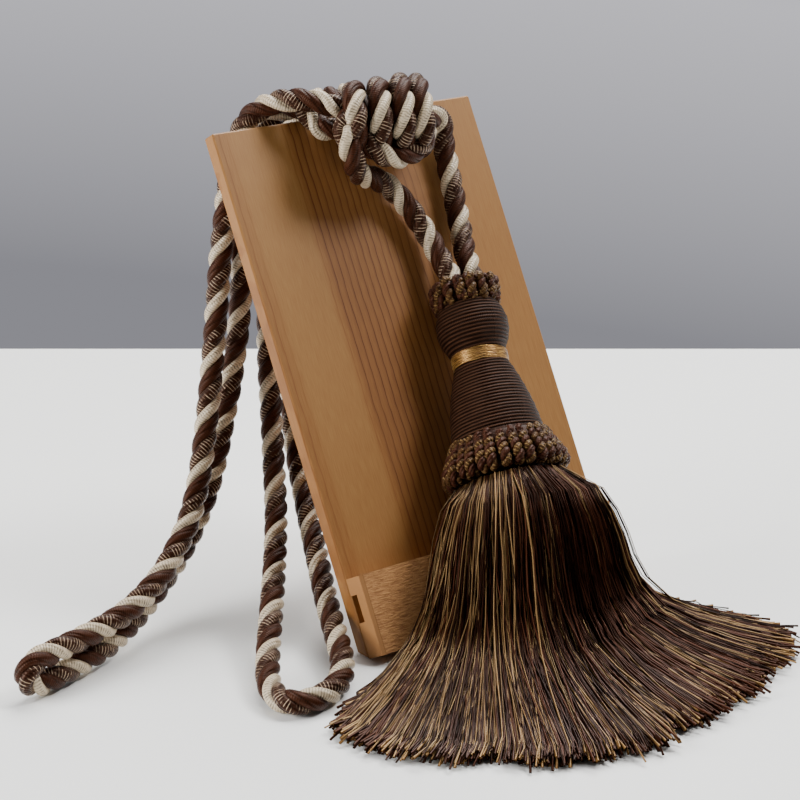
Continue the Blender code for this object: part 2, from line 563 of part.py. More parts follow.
def build_skirt(head_frame, floor_axes):
    """A root disc whose lower face is drawn out into locks that widen to the hem."""
    disc_top = (HEAD_FOOT - HEAD_TOP).length - 0.0020
    radii = [LOCK_RINGS[0]["outer"]] + [ring["inner"] for ring in LOCK_RINGS]
    skirt = bmesh.new()
    upper, lower = [], []
    for layer, distance in ((upper, disc_top), (lower, disc_top + ROOT_THICKNESS)):
        for radius in radii:
            ring_points = []
            for index in range(ROOT_SECTORS):
                angle = math.tau * index / ROOT_SECTORS
                place = Vector((radius * math.cos(angle), radius * math.sin(angle), -distance))
                ring_points.append(skirt.verts.new(place))
            layer.append(ring_points)
    root_faces = []
    for index in range(ROOT_SECTORS):
        after = (index + 1) % ROOT_SECTORS
        for outer, ring in enumerate(LOCK_RINGS):
            skirt.faces.new((upper[outer][index], upper[outer][after],
                             upper[outer + 1][after], upper[outer + 1][index]))
            first, second = lower[outer][index], lower[outer][after]
            third, fourth = lower[outer + 1][after], lower[outer + 1][index]
            sector = 360.0 / ROOT_SECTORS
            for corners, place in (((first, second, third), 0.75), ((first, third, fourth), 0.25)):
                turn = ((index + place) * sector + 180.0) % 360.0 - 180.0
                root_faces.append((skirt.faces.new(corners), ring, turn))
        skirt.faces.new((upper[0][index], lower[0][index], lower[0][after], upper[0][after]))
        skirt.faces.new((upper[-1][index], upper[-1][after], lower[-1][after], lower[-1][index]))
    bmesh.ops.recalc_face_normals(skirt, faces=skirt.faces)
    bmesh.ops.transform(skirt, matrix=head_frame, verts=skirt.verts)
    down = head_frame.to_3x3() @ Vector((0.0, 0.0, -1.0))
    to_head = head_frame.inverted()
    for face, ring, turn in root_faces:
        root = face.calc_center_median()
        local = to_head @ root
        path = lock_path(root, math.hypot(local.x, local.y), turn, ring, floor_axes, down)
        grow_lock(skirt, face, path)
    add_mesh("skirt", skirt, FRINGE_YARN, 50)


# ---------------------------------------------------------------- the whole thing
def build_all():
    frame, backward = board_frame()
    across = frame.to_3x3() @ Vector((1.0, 0.0, 0.0))
    outward = frame.to_3x3() @ Vector((0.0, 0.0, 1.0))
    build_board_panel(frame)
    build_board_ledge(frame)
    build_board_prop(frame, backward)
    head_frame = axis_frame(HEAD_TOP, HEAD_TOP - HEAD_FOOT, outward)
    build_head(head_frame)
    build_skirt(head_frame, (-backward, across))
    build_knot(frame)
    section = make_rope_section()
    build_rope("leg_right", LEG_RIGHT_ROUTE, section)
    build_rope("leg_left", LEG_LEFT_ROUTE, section)
    build_rope("arm_left", ARM_LEFT_ROUTE, section)
    build_rope("arm_middle", ARM_MIDDLE_ROUTE, section)


build_all()
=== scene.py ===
# %% [markdown]
# # A curtain tieback tassel over a leaning board
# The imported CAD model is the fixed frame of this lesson. Every piece below is built
# where its CAD solid is, in metres, and then takes that solid's place.

import math

import bpy
import numpy as np
from mathutils import Matrix, Vector


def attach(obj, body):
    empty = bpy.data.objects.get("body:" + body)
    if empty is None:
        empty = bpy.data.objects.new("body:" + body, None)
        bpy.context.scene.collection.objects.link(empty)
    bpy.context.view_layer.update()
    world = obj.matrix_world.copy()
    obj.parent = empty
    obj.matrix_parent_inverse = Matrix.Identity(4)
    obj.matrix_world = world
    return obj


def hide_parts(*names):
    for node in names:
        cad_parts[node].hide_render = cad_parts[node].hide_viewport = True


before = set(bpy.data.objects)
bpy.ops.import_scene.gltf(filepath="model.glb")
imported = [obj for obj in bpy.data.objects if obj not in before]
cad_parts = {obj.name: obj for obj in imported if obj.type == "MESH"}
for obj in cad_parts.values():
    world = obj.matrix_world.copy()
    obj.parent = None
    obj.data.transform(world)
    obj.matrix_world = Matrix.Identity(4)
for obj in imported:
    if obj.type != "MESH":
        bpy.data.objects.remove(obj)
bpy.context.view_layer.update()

# %% [markdown]
# ## The camera
# A long lens from a little above, about one metre away, keeps the board's edges
# nearly parallel. Its focal length, height and tilt come from the board's right angles.
# The alternative, to set them by eye, drifts as soon as one part is moved.

# %% Camera
CAMERA_PLACE = (-0.0450, -0.9813, 0.4390)
CAMERA_TILT = math.radians(71.5)
LENS_MM, SENSOR_MM = 101.25, 36.0

camera_data = bpy.data.cameras.new("camera")
camera_data.lens = LENS_MM
camera_data.sensor_width = SENSOR_MM
camera = bpy.data.objects.new("camera", camera_data)
camera.location = CAMERA_PLACE
camera.rotation_euler = (CAMERA_TILT, 0.0, 0.0)
bpy.context.scene.collection.objects.link(camera)
bpy.context.scene.camera = camera
print("camera at", CAMERA_PLACE, "with a lens of", LENS_MM, "mm")

# %% [markdown]
# ## Where the rope goes
# One length of rope makes the two legs, the knot and both hanging loops. Each
# stretch follows listed points, the same ones as in the CAD source. A simulated
# rope would fall in its own way, so the points are given one by one along the real one.

# %% Rope routes
LEG_RIGHT_ROUTE = (
    (-0.0360, 0.0956, 0.2197), (-0.0349, 0.0971, 0.2198), (-0.0336, 0.1002, 0.2205), (-0.0314, 0.1049, 0.2206),
    (-0.0263, 0.1127, 0.2200), (-0.0245, 0.1143, 0.2160), (-0.0238, 0.1135, 0.2101), (-0.0230, 0.1115, 0.2040),
    (-0.0216, 0.1086, 0.1971), (-0.0194, 0.1036, 0.1872), (-0.0170, 0.0969, 0.1762), (-0.0151, 0.0905, 0.1677),
    (-0.0138, 0.0834, 0.1610), (-0.0121, 0.0774, 0.1555), (-0.0106, 0.0726, 0.1508), (-0.0087, 0.0679, 0.1456),
)
LEG_LEFT_ROUTE = (
    (-0.0712, 0.0583, 0.2248), (-0.0700, 0.0565, 0.2221), (-0.0690, 0.0555, 0.2176), (-0.0670, 0.0566, 0.2115),
    (-0.0650, 0.0612, 0.2041), (-0.0620, 0.0684, 0.2002), (-0.0570, 0.0741, 0.1977), (-0.0513, 0.0785, 0.1935),
    (-0.0464, 0.0804, 0.1884), (-0.0416, 0.0810, 0.1828), (-0.0375, 0.0804, 0.1772), (-0.0336, 0.0791, 0.1716),
    (-0.0302, 0.0772, 0.1666), (-0.0274, 0.0741, 0.1619), (-0.0245, 0.0703, 0.1574), (-0.0216, 0.0661, 0.1528),
    (-0.0191, 0.0620, 0.1482),
)
ARM_LEFT_ROUTE = (
    (-0.0750, 0.0681, 0.2334), (-0.0773, 0.0675, 0.2341), (-0.0809, 0.0676, 0.2356), (-0.0879, 0.0680, 0.2366),
    (-0.0953, 0.0701, 0.2365), (-0.1025, 0.0723, 0.2352), (-0.1093, 0.0750, 0.2323), (-0.1153, 0.0765, 0.2279),
    (-0.1196, 0.0774, 0.2222), (-0.1219, 0.0771, 0.2155), (-0.1244, 0.0749, 0.2066), (-0.1272, 0.0695, 0.1928),
    (-0.1294, 0.0639, 0.1744), (-0.1314, 0.0598, 0.1574), (-0.1325, 0.0552, 0.1420), (-0.1350, 0.0452, 0.1125),
    (-0.1380, 0.0327, 0.0830), (-0.1410, 0.0207, 0.0620), (-0.1445, 0.0097, 0.0485), (-0.1495, -0.0013, 0.0385),
    (-0.1550, -0.0133, 0.0310), (-0.1610, -0.0243, 0.0260), (-0.1675, -0.0348, 0.0225), (-0.1745, -0.0443, 0.0202),
    (-0.1820, -0.0538, 0.0190), (-0.1900, -0.0638, 0.0183), (-0.1972, -0.0730, 0.0182), (-0.2036, -0.0812, 0.0179),
    (-0.2069, -0.0853, 0.0159), (-0.2083, -0.0871, 0.0116), (-0.2067, -0.0851, 0.0079), (-0.2033, -0.0809, 0.0061),
    (-0.1965, -0.0721, 0.0061), (-0.1905, -0.0633, 0.0063), (-0.1845, -0.0543, 0.0068), (-0.1785, -0.0448, 0.0076),
    (-0.1735, -0.0343, 0.0091), (-0.1685, -0.0228, 0.0110), (-0.1630, -0.0118, 0.0150), (-0.1570, -0.0013, 0.0210),
    (-0.1505, 0.0097, 0.0285), (-0.1445, 0.0202, 0.0380), (-0.1390, 0.0297, 0.0500), (-0.1345, 0.0387, 0.0640),
    (-0.1305, 0.0487, 0.0830), (-0.1265, 0.0577, 0.1040), (-0.1230, 0.0657, 0.1310), (-0.1215, 0.0725, 0.1630),
    (-0.1242, 0.0847, 0.1719), (-0.1219, 0.0951, 0.1808), (-0.1154, 0.1013, 0.1922), (-0.1071, 0.1044, 0.2044),
    (-0.0989, 0.1052, 0.2152), (-0.0916, 0.1040, 0.2241), (-0.0866, 0.1009, 0.2293), (-0.0826, 0.0963, 0.2321),
    (-0.0798, 0.0926, 0.2332), (-0.0781, 0.0904, 0.2332),
)
ARM_MIDDLE_ROUTE = (
    (-0.0821, 0.0730, 0.2225), (-0.0846, 0.0746, 0.2249), (-0.0879, 0.0768, 0.2277), (-0.0922, 0.0801, 0.2307),
    (-0.0978, 0.0836, 0.2301), (-0.1033, 0.0862, 0.2275), (-0.1078, 0.0877, 0.2229), (-0.1101, 0.0877, 0.2154),
    (-0.1107, 0.0869, 0.2038), (-0.1112, 0.0847, 0.1900), (-0.1110, 0.0827, 0.1650), (-0.1100, 0.0787, 0.1360),
    (-0.1095, 0.0707, 0.1055), (-0.1080, 0.0612, 0.0830), (-0.1065, 0.0477, 0.0630), (-0.1045, 0.0257, 0.0440),
    (-0.1040, -0.0003, 0.0305), (-0.1040, -0.0323, 0.0200), (-0.1040, -0.0633, 0.0110), (-0.1025, -0.0833, 0.0071),
    (-0.0980, -0.0948, 0.0061), (-0.0915, -0.0998, 0.0060), (-0.0840, -0.0978, 0.0060), (-0.0765, -0.0903, 0.0061),
    (-0.0715, -0.0788, 0.0068), (-0.0708, -0.0633, 0.0086), (-0.0744, -0.0423, 0.0125), (-0.0790, -0.0208, 0.0190),
    (-0.0835, 0.0037, 0.0275), (-0.0878, 0.0257, 0.0365), (-0.0920, 0.0457, 0.0475), (-0.0955, 0.0597, 0.0600),
    (-0.0980, 0.0707, 0.0760), (-0.0995, 0.0817, 0.1015), (-0.1010, 0.0902, 0.1320), (-0.1025, 0.0942, 0.1680),
    (-0.1007, 0.1019, 0.1815), (-0.0956, 0.1075, 0.1966), (-0.0889, 0.1106, 0.2094), (-0.0827, 0.1115, 0.2196),
    (-0.0780, 0.1100, 0.2269), (-0.0744, 0.1063, 0.2310), (-0.0708, 0.1020, 0.2329), (-0.0687, 0.0994, 0.2333),
)
print("points by hand", len(LEG_RIGHT_ROUTE), len(LEG_LEFT_ROUTE), len(ARM_LEFT_ROUTE), len(ARM_MIDDLE_ROUTE))

# %% [markdown]
# ## A smooth curve through the points
# A Catmull-Rom curve passes through every point, where a Bezier curve only comes near
# its handles, so what is set by hand is what shows. Its centripetal form makes no loop
# where two points are close. The curve is then cut again in even steps.

# %% Smooth curve
STEPS_BETWEEN_POINTS = 12


def smooth_route(points, step):
    """Even steps along a centripetal Catmull-Rom curve through the points."""
    knots = [Vector(point) for point in points]
    chain = [2 * knots[0] - knots[1]] + knots + [2 * knots[-1] - knots[-2]]
    fine = []
    for first, second, third, fourth in zip(chain, chain[1:], chain[2:], chain[3:]):
        gap_a = math.sqrt((second - first).length)
        gap_b = math.sqrt((third - second).length)
        gap_c = math.sqrt((fourth - third).length)
        leave = (second - first) / gap_a - (third - first) / (gap_a + gap_b) + (third - second) / gap_b
        arrive = (third - second) / gap_b - (fourth - second) / (gap_b + gap_c) + (fourth - third) / gap_c
        for index in range(STEPS_BETWEEN_POINTS):
            t = index / STEPS_BETWEEN_POINTS
            fine.append((2 * t**3 - 3 * t**2 + 1) * second + (t**3 - 2 * t**2 + t) * leave * gap_b
                        + (3 * t**2 - 2 * t**3) * third + (t**3 - t**2) * arrive * gap_b)
    fine = np.array(fine + [knots[-1]])
    walked = np.concatenate([[0.0], np.cumsum(np.linalg.norm(np.diff(fine, axis=0), axis=1))])
    count = max(2, round(walked[-1] / step))
    even = np.linspace(0.0, walked[-1], count + 1)
    return np.stack([np.interp(even, walked, fine[:, axis]) for axis in range(3)], axis=1)


print("steps along the middle loop", len(smooth_route(ARM_MIDDLE_ROUTE, 0.0012)))

# %% [markdown]
# ## Directions along a path
# To turn a strand round a path, two directions across the path are needed at each
# step. They are carried from step to step and turned as little as they can be. A fixed
# upward direction would flip over where the rope hangs straight down.

# %% Carried directions
def carried_frames(path):
    """Tangent, and two directions across it that turn as little as they can."""
    tangent = np.gradient(path, axis=0)
    tangent /= np.linalg.norm(tangent, axis=1)[:, None]
    across = np.empty_like(path)
    start = np.cross(tangent[0], (0.0, 0.0, 1.0))
    if np.linalg.norm(start) < 0.1:
        start = np.cross(tangent[0], (0.0, 1.0, 0.0))
    across[0] = start / np.linalg.norm(start)
    for index in range(1, len(path)):
        step = across[index - 1] - tangent[index] * (across[index - 1] @ tangent[index])
        across[index] = step / np.linalg.norm(step)
    return tangent, across, np.cross(tangent, across)


left_leg_tangents = carried_frames(smooth_route(LEG_LEFT_ROUTE, 0.0012))[0]
print("the left leg sets out along", left_leg_tangents[0].round(2), "and ends along", left_leg_tangents[-1].round(2))

# %% [markdown]
# ## One tube
# Every strand, ply of cord and core below is a tube with an elliptical outline. It
# is made from arrays of points and quads, which is quicker than a curve with a bevel
# and leaves the UV map and the ends in our hands.

# %% Tube
def sweep_tube(path, side_a, side_b, half_a, half_b, around):
    """Points and quads of a tube with an elliptical outline."""
    turn = np.linspace(0.0, math.tau, around, endpoint=False)
    ring = (np.cos(turn)[None, :, None] * side_a[:, None] * np.asarray(half_a).reshape(-1, 1, 1)
            + np.sin(turn)[None, :, None] * side_b[:, None] * np.asarray(half_b).reshape(-1, 1, 1))
    points = (path[:, None] + ring).reshape(-1, 3)
    row = np.arange(len(path) - 1)[:, None] * around
    column = np.arange(around)[None]
    after = (column + 1) % around
    quads = np.stack([row + column, row + after, row + around + after, row + around + column], axis=-1)
    return points, quads.reshape(-1, 4)


test_points, test_quads = sweep_tube(np.eye(3), np.eye(3), np.eye(3), 1.0, 1.0, 16)
print("a tube of three rings with 16 sides has", len(test_points), "points and", len(test_quads), "faces")

# %% [markdown]
# ## Laying strands
# A rope is strands that turn round a common middle line. One function lays any
# number of them along any path, for the rope and later for the small ruff cords. Each
# strand's own outline is an ellipse, because laid strands press each other flat on the
# inside, and both its ends are rounded. The UV map holds millimetres along a strand
# and the turn round it, so that a finish can be wound on.

# %% Strands round a path
def lay_strands(path, lay, offset, halves, widths, around, phase=0.0, across=None, twist=None):
    """One tube for each strand: points, quads, UV of each quad corner, strand number.
    Widths holds one number for each strand, which makes it slimmer or fuller sideways.
    A given across direction and twist, in turns, take the place of the carried ones."""
    strands = len(widths)
    if across is None:
        tangent, across, beside = carried_frames(path)
    else:
        tangent = np.gradient(path, axis=0)
        tangent /= np.linalg.norm(tangent, axis=1)[:, None]
        beside = np.cross(tangent, across)
    travelled = np.concatenate([[0.0], np.cumsum(np.linalg.norm(np.diff(path, axis=0), axis=1))])
    if twist is None:
        twist = travelled / lay
    from_end = np.minimum(travelled, travelled[-1] - travelled) / halves[0]
    rounding = np.sqrt(np.clip(1 - (1 - np.minimum(from_end, 1)) ** 2, 0.0001, 1))
    tubes = []
    for strand in range(strands):
        angle = phase + math.tau * (twist + strand / strands)
        outward = np.cos(angle)[:, None] * across + np.sin(angle)[:, None] * beside
        centre = path + offset * outward
        heading = np.gradient(centre, axis=0)
        heading /= np.linalg.norm(heading, axis=1)[:, None]
        outward -= heading * (outward * heading).sum(axis=1)[:, None]
        outward /= np.linalg.norm(outward, axis=1)[:, None]
        sideways = np.cross(heading, outward)
        points, quads = sweep_tube(centre, outward, sideways, halves[0] * rounding,
                                   halves[1] * widths[strand] * rounding, around)
        along = np.concatenate([[0.0], np.cumsum(np.linalg.norm(np.diff(centre, axis=0), axis=1))]) * 1000
        rows = quads[:, 0] // around
        columns = quads[:, 0] % around
        uv = np.stack([
            np.stack([along[rows], columns / around], axis=1),
            np.stack([along[rows], (columns + 1) / around], axis=1),
            np.stack([along[rows + 1], (columns + 1) / around], axis=1),
            np.stack([along[rows + 1], columns / around], axis=1)], axis=1)
        tubes.append((points, quads, uv, strand))
    return tubes


test_strands = lay_strands(smooth_route(LEG_LEFT_ROUTE, 0.0012), 0.027, 0.0029, (0.0029, 0.0030), (1.0, 1.0, 1.0), 16)
print("one strand of the left leg is", round(float(test_strands[0][2][..., 0].max())), "mm long")

# %% [markdown]
# ## One mesh for each piece
# All tubes of a piece are joined in one mesh that rides on the root body and takes
# the place of its CAD solid. The mesh is filled from whole arrays at once, because a
# loop over hundreds of thousands of faces would take minutes.

# %% Joining tubes
def mesh_piece(name, tubes, materials, replaced=()):
    """Join tubes in one smooth mesh that rides on the root body."""
    points = np.concatenate([tube[0] for tube in tubes])
    starts = np.cumsum([0] + [len(tube[0]) for tube in tubes[:-1]])
    quads = np.concatenate([tube[1] + start for tube, start in zip(tubes, starts)])
    uv = np.concatenate([tube[2] for tube in tubes]).reshape(-1, 2)
    finish = np.concatenate([np.full(len(tube[1]), tube[3]) for tube in tubes])
    mesh = bpy.data.meshes.new(name)
    mesh.vertices.add(len(points))
    mesh.vertices.foreach_set("co", points.astype(np.float32).ravel())
    mesh.loops.add(quads.size)
    mesh.loops.foreach_set("vertex_index", quads.astype(np.int32).ravel())
    mesh.polygons.add(len(quads))
    mesh.polygons.foreach_set("loop_start", np.arange(0, quads.size, quads.shape[1], dtype=np.int32))
    mesh.polygons.foreach_set("material_index", finish.astype(np.int32))
    mesh.uv_layers.new(name="laid").data.foreach_set("uv", uv.astype(np.float32).ravel())
    mesh.update(calc_edges=True)
    mesh.validate()
    mesh.shade_smooth()
    for material in materials:
        mesh.materials.append(material)
    piece = bpy.data.objects.new(name, mesh)
    bpy.context.scene.collection.objects.link(piece)
    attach(piece, "root")
    if replaced:
        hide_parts(*replaced)
    print(name, len(quads) * (quads.shape[1] - 2), "triangles")
    return piece


# %% [markdown]
# ## Colours and nodes
# Colours are written as sRGB hex values, as a paint chart gives them, and one function
# turns them to the linear light that Blender works in. Another adds any node with its
# settings and links, so a material below reads from top to bottom.

# %% Colour and node helpers
def linear(hex_colour):
    """sRGB hex, such as "c8b08a", to linear red, green, blue and alpha."""
    channels = [int(hex_colour[i:i + 2], 16) / 255 for i in (0, 2, 4)]
    return tuple(c / 12.92 if c <= 0.04045 else ((c + 0.055) / 1.055) ** 2.4 for c in channels) + (1.0,)


def add_node(owner, kind, settings=(), stops=(), **inputs):
    """Add one node to a material or the world. Settings are its own fields, stops are a
    colour ramp's (position, hex) pairs, and inputs are values or linked sockets."""
    node = owner.node_tree.nodes.new(kind)
    for field, value in dict(settings).items():
        setattr(node, field, value)
    for _ in stops[2:]:
        node.color_ramp.elements.new(0.5)
    for index, (position, colour) in enumerate(stops):
        node.color_ramp.elements[index].position = position
        node.color_ramp.elements[index].color = linear(colour)
    for key, value in inputs.items():
        socket = node.inputs[int(key[1:])] if key[0] == "_" else node.inputs[key.replace("_", " ")]
        if isinstance(value, bpy.types.NodeSocket):
            owner.node_tree.links.new(value, socket)
        else:
            socket.default_value = value
    return node


def new_material(name, roughness, specular=0.5, metallic=0.0, sheen=0.0, gloss="ffffff"):
    """A named Principled material. Returns it and its shader node. Gloss tints its shine."""
    material = bpy.data.materials.new(name)
    material.use_nodes = True
    shader = material.node_tree.nodes["Principled BSDF"]
    shader.inputs["Roughness"].default_value = roughness
    shader.inputs["Specular IOR Level"].default_value = specular
    shader.inputs["Metallic"].default_value = metallic
    shader.inputs["Sheen Weight"].default_value = sheen
    shader.inputs["Specular Tint"].default_value = linear(gloss)
    shader.inputs["Sheen Tint"].default_value = linear(gloss)
    return material, shader


def band_scale(pitch_mm):
    """Scale of a wave texture whose bands lie this far apart, on coordinates in millimetres."""
    return math.tau / 20 / pitch_mm


print("mid grey 808080 in linear light", round(linear("808080")[0], 3))

# %% [markdown]
# ## Yarn finishes for the rope
# The rope is viscose gimp: cores with satin yarn wound round them. Four or five such
# yarns lie side by side in a strand, and the grooves between them are darkened with
# painted shade. Their windings run across them, which gives fine cross ridges, drawn as
# light and dark bands that are partly painted shade, and a soft silky shine. Real windings
# are about 0.3 mm apart, too fine to show from here, so they are drawn about a
# millimetre apart. One strand is cream, one plain brown, and one brown with pale flecks.

# %% Viscose gimp
YARN_ADVANCE_MM = 36      # a yarn goes once round its strand in this length


def gimp(name, dark, light, pitch_mm, roughness, yarns, cover, flecks=None, gloss="ffffff", shine=0.45):
    """Yarns laid side by side in a strand, each wound with satin thread. Cover is how
    much the windings show, from 0 to 1; the grooves between the yarns are darkened with painted shade."""
    material, shader = new_material(name, roughness, specular=shine, sheen=0.05, gloss=gloss)
    laid = add_node(material, "ShaderNodeUVMap", {"uv_map": "laid"})
    split = add_node(material, "ShaderNodeSeparateXYZ", Vector=laid.outputs[0])
    slant = add_node(material, "ShaderNodeMath", {"operation": "MULTIPLY"}, _0=split.outputs[0], _1=1 / YARN_ADVANCE_MM)
    strand_turn = add_node(material, "ShaderNodeMath", {"operation": "MULTIPLY_ADD"},
                           _0=split.outputs[1], _1=float(yarns), _2=slant.outputs[0])
    yarn = add_node(material, "ShaderNodeMath", {"operation": "PINGPONG"}, _0=strand_turn.outputs[0], _1=0.5)
    # painted shade: dark in the grooves between the yarns, full tone across each yarn
    crown = add_node(material, "ShaderNodeMapRange", {"interpolation_type": "SMOOTHSTEP"},
                     Value=yarn.outputs[0], From_Min=0.0, From_Max=0.26)
    wave = add_node(
        material, "ShaderNodeTexWave", {"wave_type": "BANDS", "bands_direction": "X"},
        Vector=add_node(material, "ShaderNodeMapping", Vector=laid.outputs[0],
                        Scale=(1.0, 1.6, 1.0), Rotation=(0.0, 0.0, math.radians(12))).outputs[0],
        Scale=band_scale(pitch_mm), Distortion=0.6, Detail=2.0, Detail_Scale=1.2)
    patch = add_node(
        material, "ShaderNodeTexNoise",
        Vector=add_node(material, "ShaderNodeMapping", Vector=laid.outputs[0], Scale=(0.5, 2.0, 1.0)).outputs[0],
        Scale=1.0, Detail=3.0)
    # the windings' light and dark bands, partly painted shade between windings, with random patches
    wound = add_node(material, "ShaderNodeMath", {"operation": "MULTIPLY_ADD"},
                     _0=wave.outputs["Fac"], _1=0.62 * cover, _2=patch.outputs["Fac"])
    blend = add_node(material, "ShaderNodeMath", {"operation": "MULTIPLY_ADD"},
                     _0=crown.outputs[0], _1=0.42 - 0.24 * cover, _2=wound.outputs[0])
    tone = add_node(material, "ShaderNodeValToRGB", stops=((0.42, dark), (1.0 + 0.35 * cover, light)),
                    Fac=blend.outputs[0])
    colour = tone.outputs["Color"]
    if flecks:
        band = add_node(
            material, "ShaderNodeTexWave", {"wave_type": "BANDS", "bands_direction": "X"},
            Vector=laid.outputs[0], Scale=band_scale(flecks["pitch_mm"]), Distortion=1.2, Detail=1.0)
        broken = add_node(
            material, "ShaderNodeTexNoise",
            Vector=add_node(material, "ShaderNodeMapping", Vector=laid.outputs[0],
                            Scale=(0.22, 2.4, 1.0)).outputs[0], Scale=1.0, Detail=1.0)
        line = add_node(material, "ShaderNodeMapRange", {"interpolation_type": "SMOOTHSTEP"},
                        Value=band.outputs["Fac"], From_Min=0.78, From_Max=0.97)
        gate = add_node(material, "ShaderNodeMapRange", {"interpolation_type": "SMOOTHSTEP"},
                        Value=broken.outputs["Fac"], From_Min=0.40, From_Max=0.56)
        amount = add_node(material, "ShaderNodeMath", {"operation": "MULTIPLY"},
                          _0=line.outputs[0], _1=gate.outputs[0])
        mixed = add_node(material, "ShaderNodeMix", {"data_type": "RGBA"},
                         Factor=amount.outputs[0], _6=colour, _7=linear(flecks["colour"]))
        colour = mixed.outputs[2]
    relief = add_node(material, "ShaderNodeMath", {"operation": "MULTIPLY_ADD"},
                      _0=wave.outputs["Fac"], _1=0.55 * cover, _2=crown.outputs[0])
    bump = add_node(material, "ShaderNodeBump", Strength=0.6, Distance=0.0005, Height=relief.outputs[0])
    material.node_tree.links.new(colour, shader.inputs["Base Color"])
    material.node_tree.links.new(bump.outputs[0], shader.inputs["Normal"])
    return material


# cream satin viscose: pale yarns with painted shade in the grooves between them, and fine cross ridges
cream_gimp = gimp("cream_viscose_gimp", "43341f", "c9b597", 1.0, 0.36, 4, 1.0, gloss="fff8ec", shine=0.9)
# plain brown viscose: quieter, its windings hardly show
brown_gimp = gimp("brown_viscose_gimp", "0e0502", "35190d", 0.8, 0.42, 5, 0.60, gloss="a98068", shine=0.38)
# brown viscose with a pale metallised thread: short bright dashes across the strand
flecked_gimp = gimp("brown_gimp_with_metallic_fleck", "0c0402", "2c160d", 0.9, 0.34, 5, 0.7,
                    {"pitch_mm": 1.25, "colour": "a8927a"}, gloss="a98068")
ROPE_YARNS = (cream_gimp, brown_gimp, flecked_gimp)
print("rope yarns", [yarn.name for yarn in ROPE_YARNS])

# %% [markdown]
# ## The rope
# Three fat strands laid right-handed, 11.5 mm over all and 27 mm for one turn. Each
# strand has its own yarn. Real strands, not a rope pattern on one round tube, give the
# scalloped outline and the deep grooves between them.

# %% Rope
ROPE_LAY = 0.027
ROPE_STEP = 0.0012
STRAND_OFFSET = 0.00290
STRAND_HALVES = (0.00285, 0.00302)
STRAND_WIDTHS = (0.88, 1.07, 1.07)     # the cream strand, laid first, is the slimmest
STRAND_SIDES = 16


def rope(path, order, phase, across=None, twist=None):
    """Three strands along a path. Order gives each strand's yarn."""
    tubes = lay_strands(path, ROPE_LAY, STRAND_OFFSET, STRAND_HALVES, STRAND_WIDTHS, STRAND_SIDES,
                        phase, across, twist)
    return [(points, quads, uv, order[strand]) for points, quads, uv, strand in tubes]


def free_rope(name, lead, route, tail, order, phase):
    """One free stretch. Its lead and tail are the short ways inside the knot."""
    path = smooth_route(lead + route + tail, ROPE_STEP)
    piece = mesh_piece(name + "_strands", rope(path, order, phase), ROPE_YARNS, (name,))


# %% [markdown]
# ## The legs and loops
# The two legs hold the head, and the two loops hang over the board's edge down to the
# table. They are free rope. Each goes on for a short way inside the knot, so that its
# ends are never seen. A rope that comes back has its strands in the opposite order, so
# two of the four stretches use that order. With one order for all, their stripes would
# look stamped.

# %% Legs and loops
CREAM_BROWN_FLECK = (0, 1, 2)
CREAM_FLECK_BROWN = (0, 2, 1)
LEG_RIGHT_LEAD = ((-0.0414, 0.0901, 0.2200),)
LEG_LEFT_LEAD = ((-0.0650, 0.0683, 0.2299), (-0.0692, 0.0616, 0.2291))
ARM_LEFT_LEAD = ((-0.0666, 0.0736, 0.2311),)
ARM_MIDDLE_LEAD = ((-0.0736, 0.0744, 0.2211),)
ARM_LEFT_TAIL = ((-0.0650, 0.0841, 0.2290),)
ARM_MIDDLE_TAIL = ((-0.0614, 0.0892, 0.2294),)
free_rope("leg_right", LEG_RIGHT_LEAD, LEG_RIGHT_ROUTE, (), CREAM_BROWN_FLECK, 0.0)
free_rope("leg_left", LEG_LEFT_LEAD, LEG_LEFT_ROUTE, (), CREAM_FLECK_BROWN, 0.0)
free_rope("arm_left", ARM_LEFT_LEAD, ARM_LEFT_ROUTE, ARM_LEFT_TAIL, CREAM_FLECK_BROWN, 0.0)
free_rope("arm_middle", ARM_MIDDLE_LEAD, ARM_MIDDLE_ROUTE, ARM_MIDDLE_TAIL, CREAM_BROWN_FLECK, 0.0)

# %% [markdown]
# ## The board's own directions
# The board is turned and leans back. One matrix turns measures on the board, such as
# millimetres across it, into the room, for the knot and for the wood's grain.

# %% Board directions
BOARD_CORNER = Vector((-0.0590, -0.0433, 0.0))
BOARD_TURN = math.radians(38.0)
BOARD_LEAN = math.radians(28.0)

across_board = Vector((math.cos(BOARD_TURN), math.sin(BOARD_TURN), 0.0))
backward = Vector((-math.sin(BOARD_TURN), math.cos(BOARD_TURN), 0.0))
up_board = math.cos(BOARD_LEAN) * Vector((0.0, 0.0, 1.0)) + math.sin(BOARD_LEAN) * backward
out_of_board = across_board.cross(up_board)
board_frame = (Matrix.Translation(BOARD_CORNER)
               @ Matrix((across_board, up_board, out_of_board)).transposed().to_4x4())
print("board faces", [round(part, 2) for part in out_of_board])

# %% [markdown]
# ## The head's own directions
# The head hangs by its legs and lies against the board, at its own angle. Everything on
# it is round, so its places are given as a radius, a turn and a distance from its top.

# %% Head directions
HEAD_TOP = Vector((-0.0159, 0.0692, 0.1506))
HEAD_FOOT = Vector((0.0064, 0.0085, 0.0652))

head_up = (HEAD_TOP - HEAD_FOOT).normalized()
head_out = (out_of_board - out_of_board.dot(head_up) * head_up).normalized()
head_right = head_up.cross(head_out)
HEAD_LENGTH = (HEAD_TOP - HEAD_FOOT).length


def on_head(radius, turn, distance):
    """Points on the head: radius, turn from the board's outward side, distance from the top."""
    radius, turn, distance = np.broadcast_arrays(radius, turn, distance)
    return (np.array(HEAD_TOP) - distance[..., None] * np.array(head_up)
            + (radius * np.cos(turn))[..., None] * np.array(head_out)
            + (radius * np.sin(turn))[..., None] * np.array(head_right))


print("head length", round(HEAD_LENGTH * 1000, 1), "mm")
